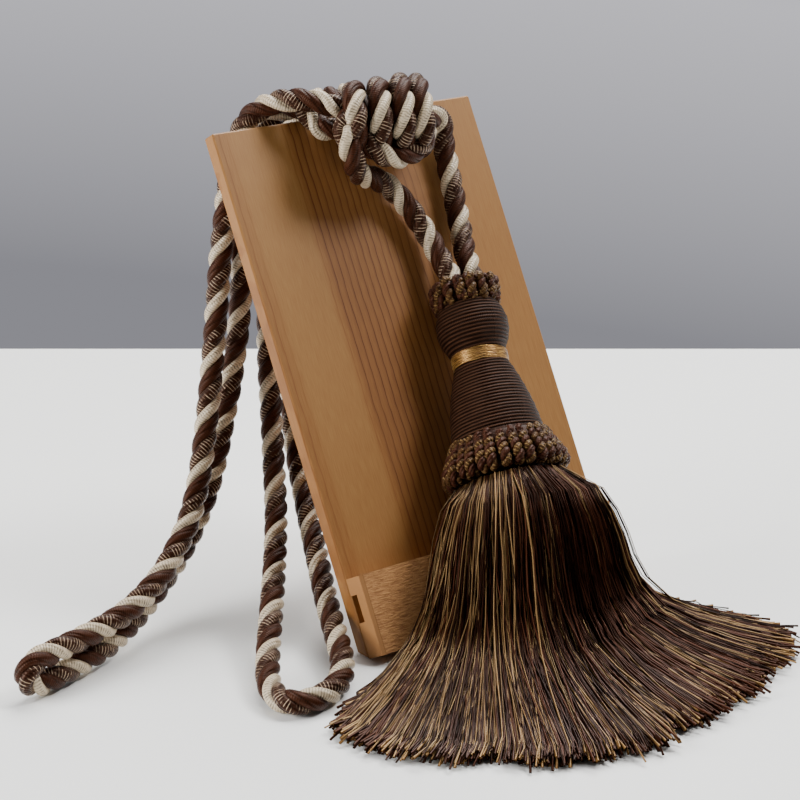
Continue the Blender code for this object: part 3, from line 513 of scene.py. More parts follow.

# %% [markdown]
# ## The knot
# The rope is wound four times round its own middle. It is made as the real thing is:
# the same three strands follow a path round the knot's axis, and a plain core fills
# the middle, where the inner turns can't be seen. The turns lean a little and crowd
# towards the right, so the path is given as a short table. A last stretch of rope
# runs slantwise under the turns and is held by them.

# %% Knot measures
KNOT_CENTRE = board_frame @ Vector((0.0790, 0.2430, 0.0235))
KNOT_BEARING = math.radians(24.0)      # the turns face the front more than the board does
KNOT_SHEAR = 4.5                       # millimetres by which a turn's front leans to the left
# turns, millimetres along the axis, radius in millimetres, and the turn at which the
# cream strand is outermost
KNOT_WINDING = (
    (-0.50, 21.5, 7.0, 0.28), (-0.20, 21.0, 14.2, 0.28), (0.27, 20.0, 15.0, 0.28), (0.77, 15.2, 15.2, 0.28),
    (1.27, 10.0, 15.9, 0.27), (1.77, 4.2, 14.2, 0.26), (2.27, -1.6, 15.2, 0.24), (2.77, -7.8, 13.0, 0.22),
    (3.27, -14.3, 14.6, 0.20), (3.62, -17.8, 11.5, 0.19), (3.90, -19.2, 6.0, 0.19),
)
# the stretch held under the turns: across, up and out of the board, in metres
KNOT_SLANT = (
    (0.1010, 0.2400, 0.0240), (0.0985, 0.2330, 0.0290), (0.0925, 0.2262, 0.0310),
    (0.0840, 0.2225, 0.0300), (0.0750, 0.2225, 0.0290), (0.0670, 0.2270, 0.0290), (0.0625, 0.2340, 0.0270),
)
KNOT_TURN_STEP = 0.085                 # along the table's curve
KNOT_SLANT_STEP = 0.0010
CORE_FROM, CORE_TO, CORE_RADIUS = -0.0165, 0.0185, 0.0125
CORE_ROWS, CORE_SIDES = 12, 24
print("knot centre", [round(part, 4) for part in KNOT_CENTRE])

# %% Knot
knot_axis = np.array((math.cos(KNOT_BEARING), math.sin(KNOT_BEARING), 0.0))
knot_up = np.array(up_board) - knot_axis * float(np.array(up_board) @ knot_axis)
knot_up /= np.linalg.norm(knot_up)
knot_out = np.cross(knot_axis, knot_up)


def knot_direction(turn):
    """Away from the knot's axis. Turn 0 is up the board, a quarter turn is out of it."""
    angle = math.tau * np.asarray(turn)[..., None]
    return np.cos(angle) * knot_up + np.sin(angle) * knot_out


def build_knot():
    """The turns, the stretch they hold, and the plain core, in one mesh."""
    rows = np.array(KNOT_WINDING)
    # turns are made ten times longer, so that they lead the smoothing
    control = [Vector(row) for row in rows[:, :3] * (10.0, 1.0, 1.0)]
    eased = smooth_route(control, KNOT_TURN_STEP)
    turn, along, radius = eased[:, 0] / 10.0, eased[:, 1] / 1000, eased[:, 2] / 1000
    shear = -KNOT_SHEAR / 1000 * np.sin(math.tau * turn)
    away = knot_direction(turn)
    path = np.array(KNOT_CENTRE) + (along + shear)[:, None] * knot_axis + radius[:, None] * away
    twist = 3.0 * (turn - np.interp(turn, rows[:, 0], rows[:, 3]))
    tubes = rope(path, CREAM_BROWN_FLECK, 0.0, away, twist)

    slant = [board_frame @ Vector(point) for point in KNOT_SLANT]
    under = smooth_route(slant, KNOT_SLANT_STEP)
    tubes += rope(under, CREAM_BROWN_FLECK, 1.0)

    core = np.linspace(CORE_FROM, CORE_TO, CORE_ROWS)
    size = CORE_RADIUS * np.sqrt(np.clip(1 - ((core - 0.001) / 0.0177) ** 6, 0.0001, 1))
    straight = np.array(KNOT_CENTRE) + core[:, None] * knot_axis
    points, quads = sweep_tube(straight, np.tile(knot_up, (CORE_ROWS, 1)), np.tile(knot_out, (CORE_ROWS, 1)),
                               size, size, CORE_SIDES)
    tubes.append((points, quads, np.zeros((len(quads), 4, 2)), 1))
    mesh_piece("knot_turns", tubes, ROPE_YARNS, ("knot",))


build_knot()

# %% [markdown]
# ## The head's finish
# The cord on the head is dark brown viscose, twisted tight and matt. Its turns go up
# by one in the UV map from cord to cord, so the middle of each can carry a painted
# highlight and the groove beside it painted shade, nearly black, with fine slanting
# lines for the cord's own twist.

# %% Cord winding finish
def wound_cord_finish():
    """Dark brown viscose cord: a painted highlight on each ridge and painted shade, nearly black, in the grooves."""
    material, shader = new_material("brown_wound_viscose_cord", 0.5, specular=0.30, gloss="a87a5c")
    laid = add_node(material, "ShaderNodeUVMap", {"uv_map": "laid"})
    split = add_node(material, "ShaderNodeSeparateXYZ", Vector=laid.outputs[0])
    height = add_node(material, "ShaderNodeMath", {"operation": "FRACT"}, _0=split.outputs[1])
    # painted highlight and shade: high in the middle of each cord turn, low in the groove beside it
    painted_ridge_shading = add_node(material, "ShaderNodeMath", {"operation": "PINGPONG"}, _0=height.outputs[0], _1=0.5)
    grain = add_node(
        material, "ShaderNodeTexWave", {"wave_type": "BANDS", "bands_direction": "X"},
        Vector=add_node(material, "ShaderNodeMapping", Vector=laid.outputs[0], Scale=(1.0, 1.4, 1.0)).outputs[0],
        Scale=band_scale(0.9), Distortion=1.0, Detail=2.0)
    patch = add_node(material, "ShaderNodeTexNoise",
                     Vector=add_node(material, "ShaderNodeMapping", Vector=laid.outputs[0],
                                     Scale=(0.12, 1.0, 1.0)).outputs[0], Scale=1.0, Detail=3.0)
    first = add_node(material, "ShaderNodeMath", {"operation": "MULTIPLY_ADD"},
                     _0=painted_ridge_shading.outputs[0], _1=1.3, _2=-0.15)
    second = add_node(material, "ShaderNodeMath", {"operation": "MULTIPLY_ADD"},
                      _0=grain.outputs["Fac"], _1=0.14, _2=first.outputs[0])
    third = add_node(material, "ShaderNodeMath", {"operation": "MULTIPLY_ADD"},
                     _0=patch.outputs["Fac"], _1=0.35, _2=second.outputs[0])
    tone = add_node(material, "ShaderNodeValToRGB", stops=((0.12, "070302"), (0.50, "1e0f09"), (0.95, "583a28")),
                    Fac=third.outputs[0])
    bump = add_node(material, "ShaderNodeBump", Strength=0.4, Distance=0.0003, Height=grain.outputs["Fac"])
    material.node_tree.links.new(tone.outputs[0], shader.inputs["Base Color"])
    material.node_tree.links.new(bump.outputs[0], shader.inputs["Normal"])
    return material


wound_cord = wound_cord_finish()
print("head finish", wound_cord.name)

# %% [markdown]
# ## A skin round the head
# Things wound close together leave no gaps, so a closed skin with ridges does as well
# as separate rings and has far fewer faces. This helper makes one from rows of radius
# and distance, and the head and the gold band both use it.

# %% Turned skin
def turned_skin(name, rows, around, material, replaced):
    """A closed skin round the head. Each row is (radius, distance, v) with arrays over the turn."""
    turn = np.linspace(0.0, math.tau, around + 1)
    points = np.concatenate([on_head(radius, turn[:-1], distance) for radius, distance, _ in rows])
    row = np.arange(len(rows) - 1)[:, None] * around
    column = np.arange(around)[None]
    after = (column + 1) % around
    quads = np.stack([row + column, row + around + column, row + around + after, row + after], axis=-1)
    length = [np.broadcast_to(radius, around) * 1000 for radius, _, _ in rows]
    height = [np.broadcast_to(v, around + 1) for _, _, v in rows]
    uv = np.zeros((len(rows) - 1, around, 4, 2))
    for index in range(len(rows) - 1):
        mean = float(length[index].mean())
        for corner, (r, c) in enumerate(((0, 0), (1, 0), (1, 1), (0, 1))):
            uv[index, :, corner, 0] = turn[c:around + c] * mean
            uv[index, :, corner, 1] = height[index + r][c:around + c]
    tube = (points, quads.reshape(-1, 4), uv.reshape(-1, 4, 2), 0)
    return mesh_piece(name, [tube], [material], replaced)


# %% [markdown]
# ## The wound head
# A turned wooden mould is covered with one fine brown cord, laid turn by turn. For
# each place on the skin, the distance to the nearest turn of the spiral gives a round
# ridge. A waist between the two swellings takes the metal thread band.

# %% Head winding
WINDINGS = (
    {"start": 0.0160, "end": 0.0406, "turns": 14, "r_start": 0.0140, "r_middle": 0.0174, "r_end": 0.0130},
    {"start": 0.0468, "end": 0.0850, "turns": 23, "r_start": 0.0132, "r_middle": 0.0194, "r_end": 0.0224},
)
CORD_RISE = 0.00085
ROWS_PER_TURN = 9
CAP_CENTRE = 0.0005         # the two end caps close to this radius
TOP_CAP_RADIUS, TOP_CAP = 0.0106, 0.0082
WAIST, WAIST_FROM, WAIST_TO = 0.0120, 0.0408, 0.0466
FOOT_RADIUS, FOOT_FROM, FOOT_CAP = 0.0200, 0.0853, HEAD_LENGTH - 0.0026


def build_winding():
    """Rows down the head: top cap, two groups of turns with the waist between, foot cap."""
    around = 120
    turn = np.linspace(0.0, math.tau, around, endpoint=False)
    share = turn / math.tau
    rows = [(np.full(around, CAP_CENTRE), TOP_CAP, 0.0), (np.full(around, TOP_CAP_RADIUS), TOP_CAP, 0.0)]
    for group in WINDINGS:
        for step in range(group["turns"] * ROWS_PER_TURN + 1):
            t = step / (group["turns"] * ROWS_PER_TURN)
            straight = group["r_start"] * (1 - t) + group["r_end"] * t
            bulge = group["r_middle"] - (group["r_start"] + group["r_end"]) / 2
            place = t * group["turns"] + share
            within = place % 1.0
            ridge = np.sqrt(np.clip(1 - (2 * within - 1) ** 2, 0.0, 1.0))
            sway = 0.00010 * np.sin(3 * turn + 2.1 * t * group["turns"])
            radius = straight + bulge * 4 * t * (1 - t) + CORD_RISE * (ridge - 0.85) + sway
            distance = group["start"] + t * (group["end"] - group["start"])
            v = t * group["turns"] + np.linspace(0.0, 1.0, around + 1)
            rows.append((radius, distance, v))
        if group is WINDINGS[0]:
            rows.append((np.full(around, WAIST), WAIST_FROM, 0.0))
            rows.append((np.full(around, WAIST), WAIST_TO, 0.0))
    rows.append((np.full(around, FOOT_RADIUS), FOOT_FROM, 0.0))
    rows.append((np.full(around, FOOT_RADIUS), FOOT_CAP, 0.0))
    rows.append((np.full(around, CAP_CENTRE), FOOT_CAP, 0.0))
    turned_skin("head_winding", rows, around, wound_cord, ("head",))


build_winding()

# %% [markdown]
# ## The metal thread's finish
# Metallised thread is a thin gold-coloured film wound on a core. It mirrors in narrow
# bright lines with brown between them, so streaks that run along the thread mix two
# gold tones and a brown: the brightest gold is a painted highlight and the brown painted
# shade. Being partly film and partly fibre, it is not fully metallic.

# %% Gold thread finish
def metal_thread_finish():
    """Gold-coloured metallised thread: painted highlight lines with painted shade, brown, between."""
    material, shader = new_material("gold_metallised_thread", 0.32, metallic=0.6)
    laid = add_node(material, "ShaderNodeUVMap", {"uv_map": "laid"})
    # streaks along the thread: some gold-tone variation, with painted highlight lines and painted shade between
    streak = add_node(material, "ShaderNodeTexNoise",
                      Vector=add_node(material, "ShaderNodeMapping", Vector=laid.outputs[0],
                                      Scale=(0.16, 3.0, 1.0)).outputs[0], Scale=1.0, Detail=4.0)
    tone = add_node(material, "ShaderNodeValToRGB", stops=((0.34, "321b07"), (0.50, "7c5626"), (0.64, "cfa35c")),
                    Fac=streak.outputs["Fac"])
    bump = add_node(material, "ShaderNodeBump", Strength=0.4, Distance=0.0002, Height=streak.outputs["Fac"])
    material.node_tree.links.new(tone.outputs[0], shader.inputs["Base Color"])
    material.node_tree.links.new(bump.outputs[0], shader.inputs["Normal"])
    return material


gold_thread = metal_thread_finish()
print("band finish", gold_thread.name)

# %% [markdown]
# ## The metal thread band
# The thread is wound about nine times round the waist. Its turns cross and crowd a
# little, so each has its own slow sway, and the whole band drifts a little up and down.

# %% Gold thread band
BAND_THREADS = 9
ROWS_PER_THREAD = 7
BAND_TOP, BAND_DEPTH, WAIST_RADIUS = 0.0404, 0.0066, 0.0123


def build_band():
    """Rows down the band, from the waist out over the threads and back to the waist."""
    around = 96
    turn = np.linspace(0.0, math.tau, around, endpoint=False)
    rows = [(np.full(around, WAIST_RADIUS), BAND_TOP, 0.0)]
    for step in range(BAND_THREADS * ROWS_PER_THREAD + 1):
        t = step / (BAND_THREADS * ROWS_PER_THREAD)
        sway = 0.25 * np.sin(turn * 2 + 5 * t) + 0.18 * np.sin(turn * 5 + 11 * t)
        within = (t * BAND_THREADS + sway * math.sin(math.pi * t)) % 1.0
        ridge = np.sqrt(np.clip(1 - (2 * within - 1) ** 2, 0.0, 1.0))
        crown = 1 - (2 * t - 1) ** 4
        radius = 0.0130 + 0.0005 * crown + 0.00035 * ridge
        drift = 0.0003 * np.sin(turn + 1.0) + 0.00022 * np.sin(2 * turn)
        rows.append((radius, BAND_TOP + t * BAND_DEPTH + drift, np.full(around + 1, t * BAND_THREADS)))
    rows.append((np.full(around, WAIST_RADIUS), BAND_TOP + BAND_DEPTH, 0.0))
    turned_skin("gold_thread_turns", rows, around, gold_thread, ("thread_band",))


build_band()

# %% [markdown]
# ## The ruffs' cord
# The ruffs are sewn from two-ply cord, one ply plain brown viscose and one brown with
# gold thread. It is the same kind of yarn as the rope's, wound finer and less shiny,
# so the same finish serves with other colours.

# %% Ruff cord
PLY_OFFSET = 0.25           # as shares of the cord's thickness
PLY_HALVES = (0.27, 0.30)
PLY_SIDES = 10
# chocolate viscose: soft and dark
ruff_brown = gimp("chocolate_two_ply_cord", "100604", "371b11", 0.9, 0.45, 3, 0.6, gloss="a87c62")
# brown viscose with gold thread: short gold dashes
ruff_gold = gimp("brown_and_gold_ply", "130804", "3e2614", 1.0, 0.42, 3, 0.8,
                 {"pitch_mm": 1.1, "colour": "80663f"}, gloss="c09a66")
print("ruff plies", ruff_brown.name, ruff_gold.name)


def ring_of_backing(radius, middle, half_depth, half_height):
    """The folded strip that the loops are sewn to, as one dark ring."""
    turn = np.linspace(0.0, math.tau, 73)
    path = on_head(radius, turn, middle)
    outward = path - on_head(0.0, turn, middle)
    outward /= np.linalg.norm(outward, axis=1)[:, None]
    along = np.tile(np.array(head_up), (len(turn), 1))
    points, quads = sweep_tube(path, outward, along, half_depth, half_height, 12)
    return points, quads, np.zeros((len(quads), 4, 2)), 0


# %% [markdown]
# ## The ruffs
# Each ruff is a row of upright loops of that cord. Every loop goes up outside, over
# the top and back under, and its tight twist makes it look like a string of beads. One
# outline, a radius and a distance for each point, is enough for a loop, and a little
# luck in its lean and lay keeps the row from looking stamped.

# %% Ruffs
def build_ruff(name, node, columns, top, bottom, r_top, r_bottom, r_inner, cord, lay, seed):
    """Upright loops round the head between two distances from its top."""
    luck = np.random.default_rng(seed)
    tubes = [ring_of_backing((r_top + r_bottom) / 2 - cord * 0.75, (top + bottom) / 2, cord * 0.45,
                             (bottom - top) * 0.46)]
    for column in range(columns):
        turn = math.tau * (column + luck.uniform(-0.06, 0.06)) / columns
        lean = luck.uniform(-0.08, 0.08) + 0.05
        rise = luck.uniform(-0.0005, 0.0005)
        half = cord / 2
        outline = (
            (r_inner + half * 0.6, top + half * 1.8), (r_inner + half * 1.0, top + half + rise),
            (r_top - half, top + half * 0.9 + rise), (r_top - half * 0.3, top + half * 2.0 + rise),
            (r_top * 0.5 + r_bottom * 0.5 - half * 0.2, (top + bottom) / 2),
            (r_bottom - half * 0.4, bottom - half * 2.0), (r_bottom - half, bottom - half * 1.0),
            (r_inner + half * 1.2, bottom - half * 1.2),
        )
        points = [Vector(on_head(radius, turn + lean * (distance - top) / (bottom - top) / 2, distance))
                  for radius, distance in outline]
        path = smooth_route(points, 0.0005)
        tubes += lay_strands(path, lay * luck.uniform(0.93, 1.07), cord * PLY_OFFSET,
                             (cord * PLY_HALVES[0], cord * PLY_HALVES[1]), (1.0, 1.0), PLY_SIDES,
                             luck.uniform(0, math.tau))
    mesh_piece(name, tubes, (ruff_brown, ruff_gold), (node,))


build_ruff("top_ruff_loops", "top_ruff", columns=16, top=0.0036, bottom=0.0178, r_top=0.0156,
           r_bottom=0.0161, r_inner=0.0126, cord=0.0054, lay=0.0068, seed=3)
build_ruff("lower_ruff_loops", "lower_ruff", columns=30, top=0.0836, bottom=0.1048, r_top=0.0245,
           r_bottom=0.0296, r_inner=0.0205, cord=0.0054, lay=0.0066, seed=5)

# %% [markdown]
# ## The threads' finishes
# The skirt's threads are dyed viscose in tan, brown and nearly black. Viscose is a
# smooth, glossy fibre, and its shine takes the thread's own colour, so the gloss is
# tinted. That makes threads that lie across the light shine, while steep ones stay
# dark. The first number of the UV map is each thread's own tone, the second how far
# along it a place is, and the cut ends are frayed and duller.

# %% Thread finishes
def thread_finish(name, stops, tip, roughness, gloss, shine):
    """Satin thread: every thread its own tone, small lengthwise changes, a frayed tip."""
    material, shader = new_material(name, roughness, specular=shine, gloss=gloss)
    laid = add_node(material, "ShaderNodeUVMap", {"uv_map": "laid"})
    split = add_node(material, "ShaderNodeSeparateXYZ", Vector=laid.outputs[0])
    streak = add_node(material, "ShaderNodeTexNoise",
                      Vector=add_node(material, "ShaderNodeMapping", Vector=laid.outputs[0],
                                      Scale=(90.0, 6.0, 1.0)).outputs[0], Scale=1.0, Detail=2.0)
    blend = add_node(material, "ShaderNodeMath", {"operation": "MULTIPLY_ADD"},
                     _0=streak.outputs["Fac"], _1=0.5, _2=split.outputs[0])
    shifted = add_node(material, "ShaderNodeMath", {"operation": "SUBTRACT"}, _0=blend.outputs[0], _1=0.25)
    tone = add_node(material, "ShaderNodeValToRGB", stops=stops, Fac=shifted.outputs[0])
    end = add_node(material, "ShaderNodeMapRange", Value=split.outputs[1], From_Min=0.93, From_Max=0.99)
    frayed = add_node(material, "ShaderNodeMix", {"data_type": "RGBA"},
                      Factor=end.outputs[0], _6=tone.outputs[0], _7=linear(tip))
    material.node_tree.links.new(frayed.outputs[2], shader.inputs["Base Color"])
    return material


# tan viscose: bright golden lines
tan_thread = thread_finish("tan_viscose_thread", ((0.0, "3a2814"), (0.5, "6c4f2e"), (1.0, "a07e54")),
                           tip="7d5a30", roughness=0.36, gloss="ecc890", shine=1.0)
# chocolate viscose: the body of the skirt, with a soft reddish shine
brown_thread = thread_finish("chocolate_viscose_thread", ((0.0, "0e0503"), (0.6, "27120b"), (1.0, "4a291a")),
                             tip="2c160b", roughness=0.34, gloss="9c6244", shine=0.6)
# nearly black viscose: the depth between the others
dark_thread = thread_finish("dark_viscose_thread", ((0.0, "060201"), (1.0, "150a05")),
                            tip="1c0e06", roughness=0.40, gloss="8a5c46", shine=0.5)
print("thread finishes", tan_thread.name, brown_thread.name, dark_thread.name)

# %% [markdown]
# ## The skirt's outline
# The threads hang from a ring under the lower ruff and fan out on the table. Two short
# tables shape them all: how far the hem reaches in each direction, and how a thread
# falls, which gives the skirt its bell shape. A cloth simulation would need every
# thread's weight and stiffness, and two tables can simply be listed.

# %% Hem and fall
# turn from the board's outward side in degrees, and reach in metres
HEM = (
    (-180, 0.026), (-150, 0.031), (-122, 0.046), (-110, 0.062), (-103, 0.078), (-95, 0.101), (-87, 0.126),
    (-73, 0.127), (-60, 0.121), (-50, 0.110), (-32, 0.112), (-18, 0.106), (-4, 0.100), (14, 0.097),
    (36, 0.104), (51, 0.116), (62, 0.115), (76, 0.096), (97, 0.072), (125, 0.044), (152, 0.031), (180, 0.026),
)
# how a thread falls: share of the way out to the hem, share of the height left
THREAD_FALL = ((0.0, 1.0), (0.15, 0.92), (0.26, 0.63), (0.335, 0.33), (0.45, 0.125), (0.68, 0.03), (1.0, 0.0))
FALL_LENGTH = 1.55          # of that curve, in its own shares
FALL_STEPS = 9
SKIRT_FLOOR_CENTRE = np.array((0.0200, -0.0383, 0.0))
floor_out = -np.array(backward)
floor_right = np.array(across_board)
hem_turns = np.array([turn for turn, _ in HEM])
hem_reaches = np.array([reach for _, reach in HEM])
fall = smooth_route([Vector((out, 0.0, height)) for out, height in THREAD_FALL], FALL_LENGTH / FALL_STEPS)
print("points of one thread", len(fall) + 1)

# %% [markdown]
# ## Every thread's path
# Seeded random numbers give each thread its own root, direction, length and wave, so
# every run is the same. Threads also lean together in small tufts of five degrees. The
# right side of the front, where the steep threads fall into shade, has few tan threads
# near its top. This is partly the threads' real spread and partly painted shade that
# deepens that zone, with painted light on the lit left front, which gets more: some of
# them go to the left instead, and the others start deeper inside and only come out
# where the skirt flares.

# %% Thread paths
ROOT_RADIUS, ROOT_DEPTH = 0.0262, 0.0150     # the outermost roots, and how far in the others go
# the zone where the steep front falls into shade; fewer tan threads there is partly painted shade
SHADED_FRONT_MIDDLE = 15                             # turn in degrees at the middle of the dark zone
SHADED_FRONT_HALF_WIDTH = (24, 58)                   # its edge is soft, so it lies between these
LIT_LEFT_FRONT = (-120, -30)
DEEPER = 0.5
TUFT_DEGREES = 5.0
TUFTS = 80
tuft_luck = np.random.default_rng(11).normal(0.0, 1.0, (TUFTS, 3))


def thread_paths(count, luck, depth_range, stray, sparse):
    """Paths of many threads at once: an array of count x steps x 3. Stray is how far
    threads wander sideways. Sparse is the share of the painted-shade zone's threads that go
    to the lit left front, and above 0 the zone's others start deeper."""
    turn = luck.uniform(-180, 180, count)
    # painted shade and light: tan threads are thinned where the front falls into shade and moved to the lit left front
    painted_shade_zone = (np.abs(turn - SHADED_FRONT_MIDDLE) < luck.uniform(*SHADED_FRONT_HALF_WIDTH, count)) & (sparse > 0)
    moved = painted_shade_zone & (luck.random(count) < sparse)
    turn = np.where(moved, luck.uniform(*LIT_LEFT_FRONT, count), turn)
    depth = luck.uniform(*depth_range, count)
    root_depth = depth + np.where(painted_shade_zone & ~moved, DEEPER, 0.0)
    tuft = np.round(turn / TUFT_DEGREES)
    tuft_row = (tuft + TUFTS // 2).astype(int) % TUFTS
    radius = ROOT_RADIUS - ROOT_DEPTH * root_depth
    root = on_head(radius, np.radians(turn), np.full(count, HEAD_LENGTH - 0.0012))
    # tufts lean by about 1.2 degrees, threads by 2.2 more, and strays by up to 7
    end_turn = (turn + tuft_luck[tuft_row, 0] * 1.2 + luck.normal(0.0, 2.2, count)
                + stray * luck.normal(0.0, 7.0, count))
    end_turn = (end_turn + 180) % 360 - 180
    # inner threads reach less far, and tufts and threads differ by 2 mm or so
    full = np.interp(end_turn, hem_turns, hem_reaches)
    reach = full * (1 - 0.22 * depth) + tuft_luck[tuft_row, 1] * 0.0022 + luck.normal(0.0, 0.0016, count)
    angle = np.radians(end_turn)
    away = np.cos(angle)[:, None] * floor_out + np.sin(angle)[:, None] * floor_right
    # outer threads lie on top of the inner ones, up to 7 mm above the table
    level = 0.0008 + 0.0062 * (1 - depth) ** 1.2
    touch = SKIRT_FLOOR_CENTRE + (0.92 * reach)[:, None] * away
    end = SKIRT_FLOOR_CENTRE + reach[:, None] * away
    end[:, 2] = luck.uniform(0.15, 0.95, count) * level
    # threads at the left hang closer to the head before they turn out
    out = fall[None, :, 0] ** (0.96 + 0.10 * np.clip(-np.sin(angle), 0, 1)[:, None] + 0.12 * depth[:, None])
    height = fall[None, :, 2] ** luck.uniform(0.88, 1.18, count)[:, None]
    paths = root[:, None] * (1 - out[..., None]) + touch[:, None] * out[..., None]
    paths[..., 2] = level[:, None] + (root[:, 2] - level)[:, None] * height
    paths = np.concatenate([paths, end[:, None]], axis=1)
    # each thread sways in one long wave and one short one, and bows up a little
    side = np.stack([-away[:, 1], away[:, 0], np.zeros(count)], axis=1)
    along = np.linspace(0.0, 1.0, paths.shape[1])[None, :]
    wave = (luck.normal(0.0, 0.0024, count)[:, None]
            * np.sin(math.pi * along * luck.uniform(0.8, 1.8, count)[:, None])
            + luck.normal(0.0, 0.0009, count)[:, None]
            * np.sin(math.tau * along * luck.uniform(1.0, 2.2, count)[:, None]))
    paths += wave[..., None] * side[:, None]
    paths[..., 2] += np.abs(luck.normal(0.0, 0.0007, count))[:, None] * np.sin(math.pi * along)
    return paths


# %% [markdown]
# ## The skirt
# Each thread is a thin three-sided tube, the fewest sides that still catch light from
# above and at the sides. Its last ring is twice as wide, for the frayed end. Threads of
# one colour and depth are one piece, from the dark ones inside to the tan ones on top,
# and a hundred loose ones stand off the rest.

# %% Skirt threads
THREAD_OUTLINE = ((0.0, 1.0), (-0.87, -0.5), (0.87, -0.5))
END_WIDENING = 2.0


def build_threads(name, count, seed, depth_range, thickness, material, stray=0.0, sparse=0.0, replaced=()):
    """All threads of one colour and depth in one mesh. Depth is 0 at the outside."""
    luck = np.random.default_rng(seed)
    paths = thread_paths(count, luck, depth_range, stray, sparse)
    steps = paths.shape[1]
    heading = np.gradient(paths, axis=1)
    heading /= np.linalg.norm(heading, axis=2)[..., None]
    sideways = np.cross(heading, (0.0, 0.0, 1.0))
    sideways /= np.linalg.norm(sideways, axis=2)[..., None]
    upright = np.cross(sideways, heading)
    size = thickness * luck.uniform(0.8, 1.2, count)[:, None] * np.ones(steps)[None]
    size[:, -1] *= END_WIDENING
    corners = np.array(THREAD_OUTLINE)
    rings = (paths[:, :, None]
             + size[..., None, None] * (corners[:, 0][None, None, :, None] * sideways[:, :, None]
                                        + corners[:, 1][None, None, :, None] * upright[:, :, None]))
    points = rings.reshape(-1, 3)
    thread = np.arange(count)[:, None, None] * steps * 3
    row = np.arange(steps - 1)[None, :, None] * 3
    column = np.arange(3)[None, None]
    after = (column + 1) % 3
    base = thread + row
    quads = np.stack([base + column, base + after, base + 3 + after, base + 3 + column], axis=-1).reshape(-1, 4)
    tone = np.repeat(luck.uniform(0.0, 1.0, count), (steps - 1) * 3)
    at = np.tile(np.repeat(np.arange(steps - 1) / (steps - 1), 3), count)
    uv = np.stack([np.stack([tone, at + extra], axis=1) for extra in (0, 0, 1 / steps, 1 / steps)], axis=1)
    return mesh_piece(name, [(points, quads, uv, 0)], [material], replaced)


build_threads("dark_threads", 2600, 21, (0.25, 1.0), 0.00050, dark_thread, replaced=("skirt",))
build_threads("inner_brown_threads", 2600, 22, (0.15, 0.6), 0.00042, brown_thread, stray=0.15)
build_threads("outer_brown_threads", 2600, 24, (0.0, 0.30), 0.00036, brown_thread, stray=0.35)
build_threads("tan_threads", 1250, 23, (0.0, 0.36), 0.00036, tan_thread, stray=0.5, sparse=0.32)
build_threads("loose_dark_threads", 60, 31, (-0.14, 0.0), 0.00026, dark_thread, stray=1.0)
build_threads("loose_tan_threads", 40, 32, (-0.12, 0.0), 0.00028, tan_thread, stray=1.0)

# %% [markdown]
# ## Places on the wood
# The grain runs up the board, which is turned and leans. An object's own coordinates
# are metres in the room here, so they are turned into the board's directions and
# scaled. Scaled by 1000 they are millimetres, and a smaller scale in one direction
# draws a pattern out along it.

# %% Board coordinates
MM = 1000.0


def board_coordinates(material, scale):
    """Places across, up and out of the board, each direction with its own scale."""
    place = add_node(material, "ShaderNodeTexCoord")
    local = add_node(material, "ShaderNodeMapping", {"vector_type": "TEXTURE"}, Vector=place.outputs["Object"],
                     Location=tuple(BOARD_CORNER), Rotation=tuple(board_frame.to_euler()))
    return add_node(material, "ShaderNodeMapping", Vector=local.outputs[0], Scale=scale)


print("a noise scale of", 0.05, "on millimetres makes patches about", round(1 / 0.05), "mm wide")

# %% [markdown]
# ## Growth lines
# Pine cut lengthwise shows each year as a pale band that ends in a thin dark line. The
# distance across the board, bent by two slow noises, is cut into years of 4 mm, and a
# curve gives each year its dark end. The lines are strong between two distances from
# the left edge, fade to the right, and a few more run along the edge itself.

# %% Growth lines
YEAR_MM = 4.0
LINES_FROM_MM, LINES_TO_MM = 40.0, 96.0
YEAR_CURVE = ((0.60, 0.05), (0.84, 0.40), (0.92, 1.0))     # share of a year, darkness


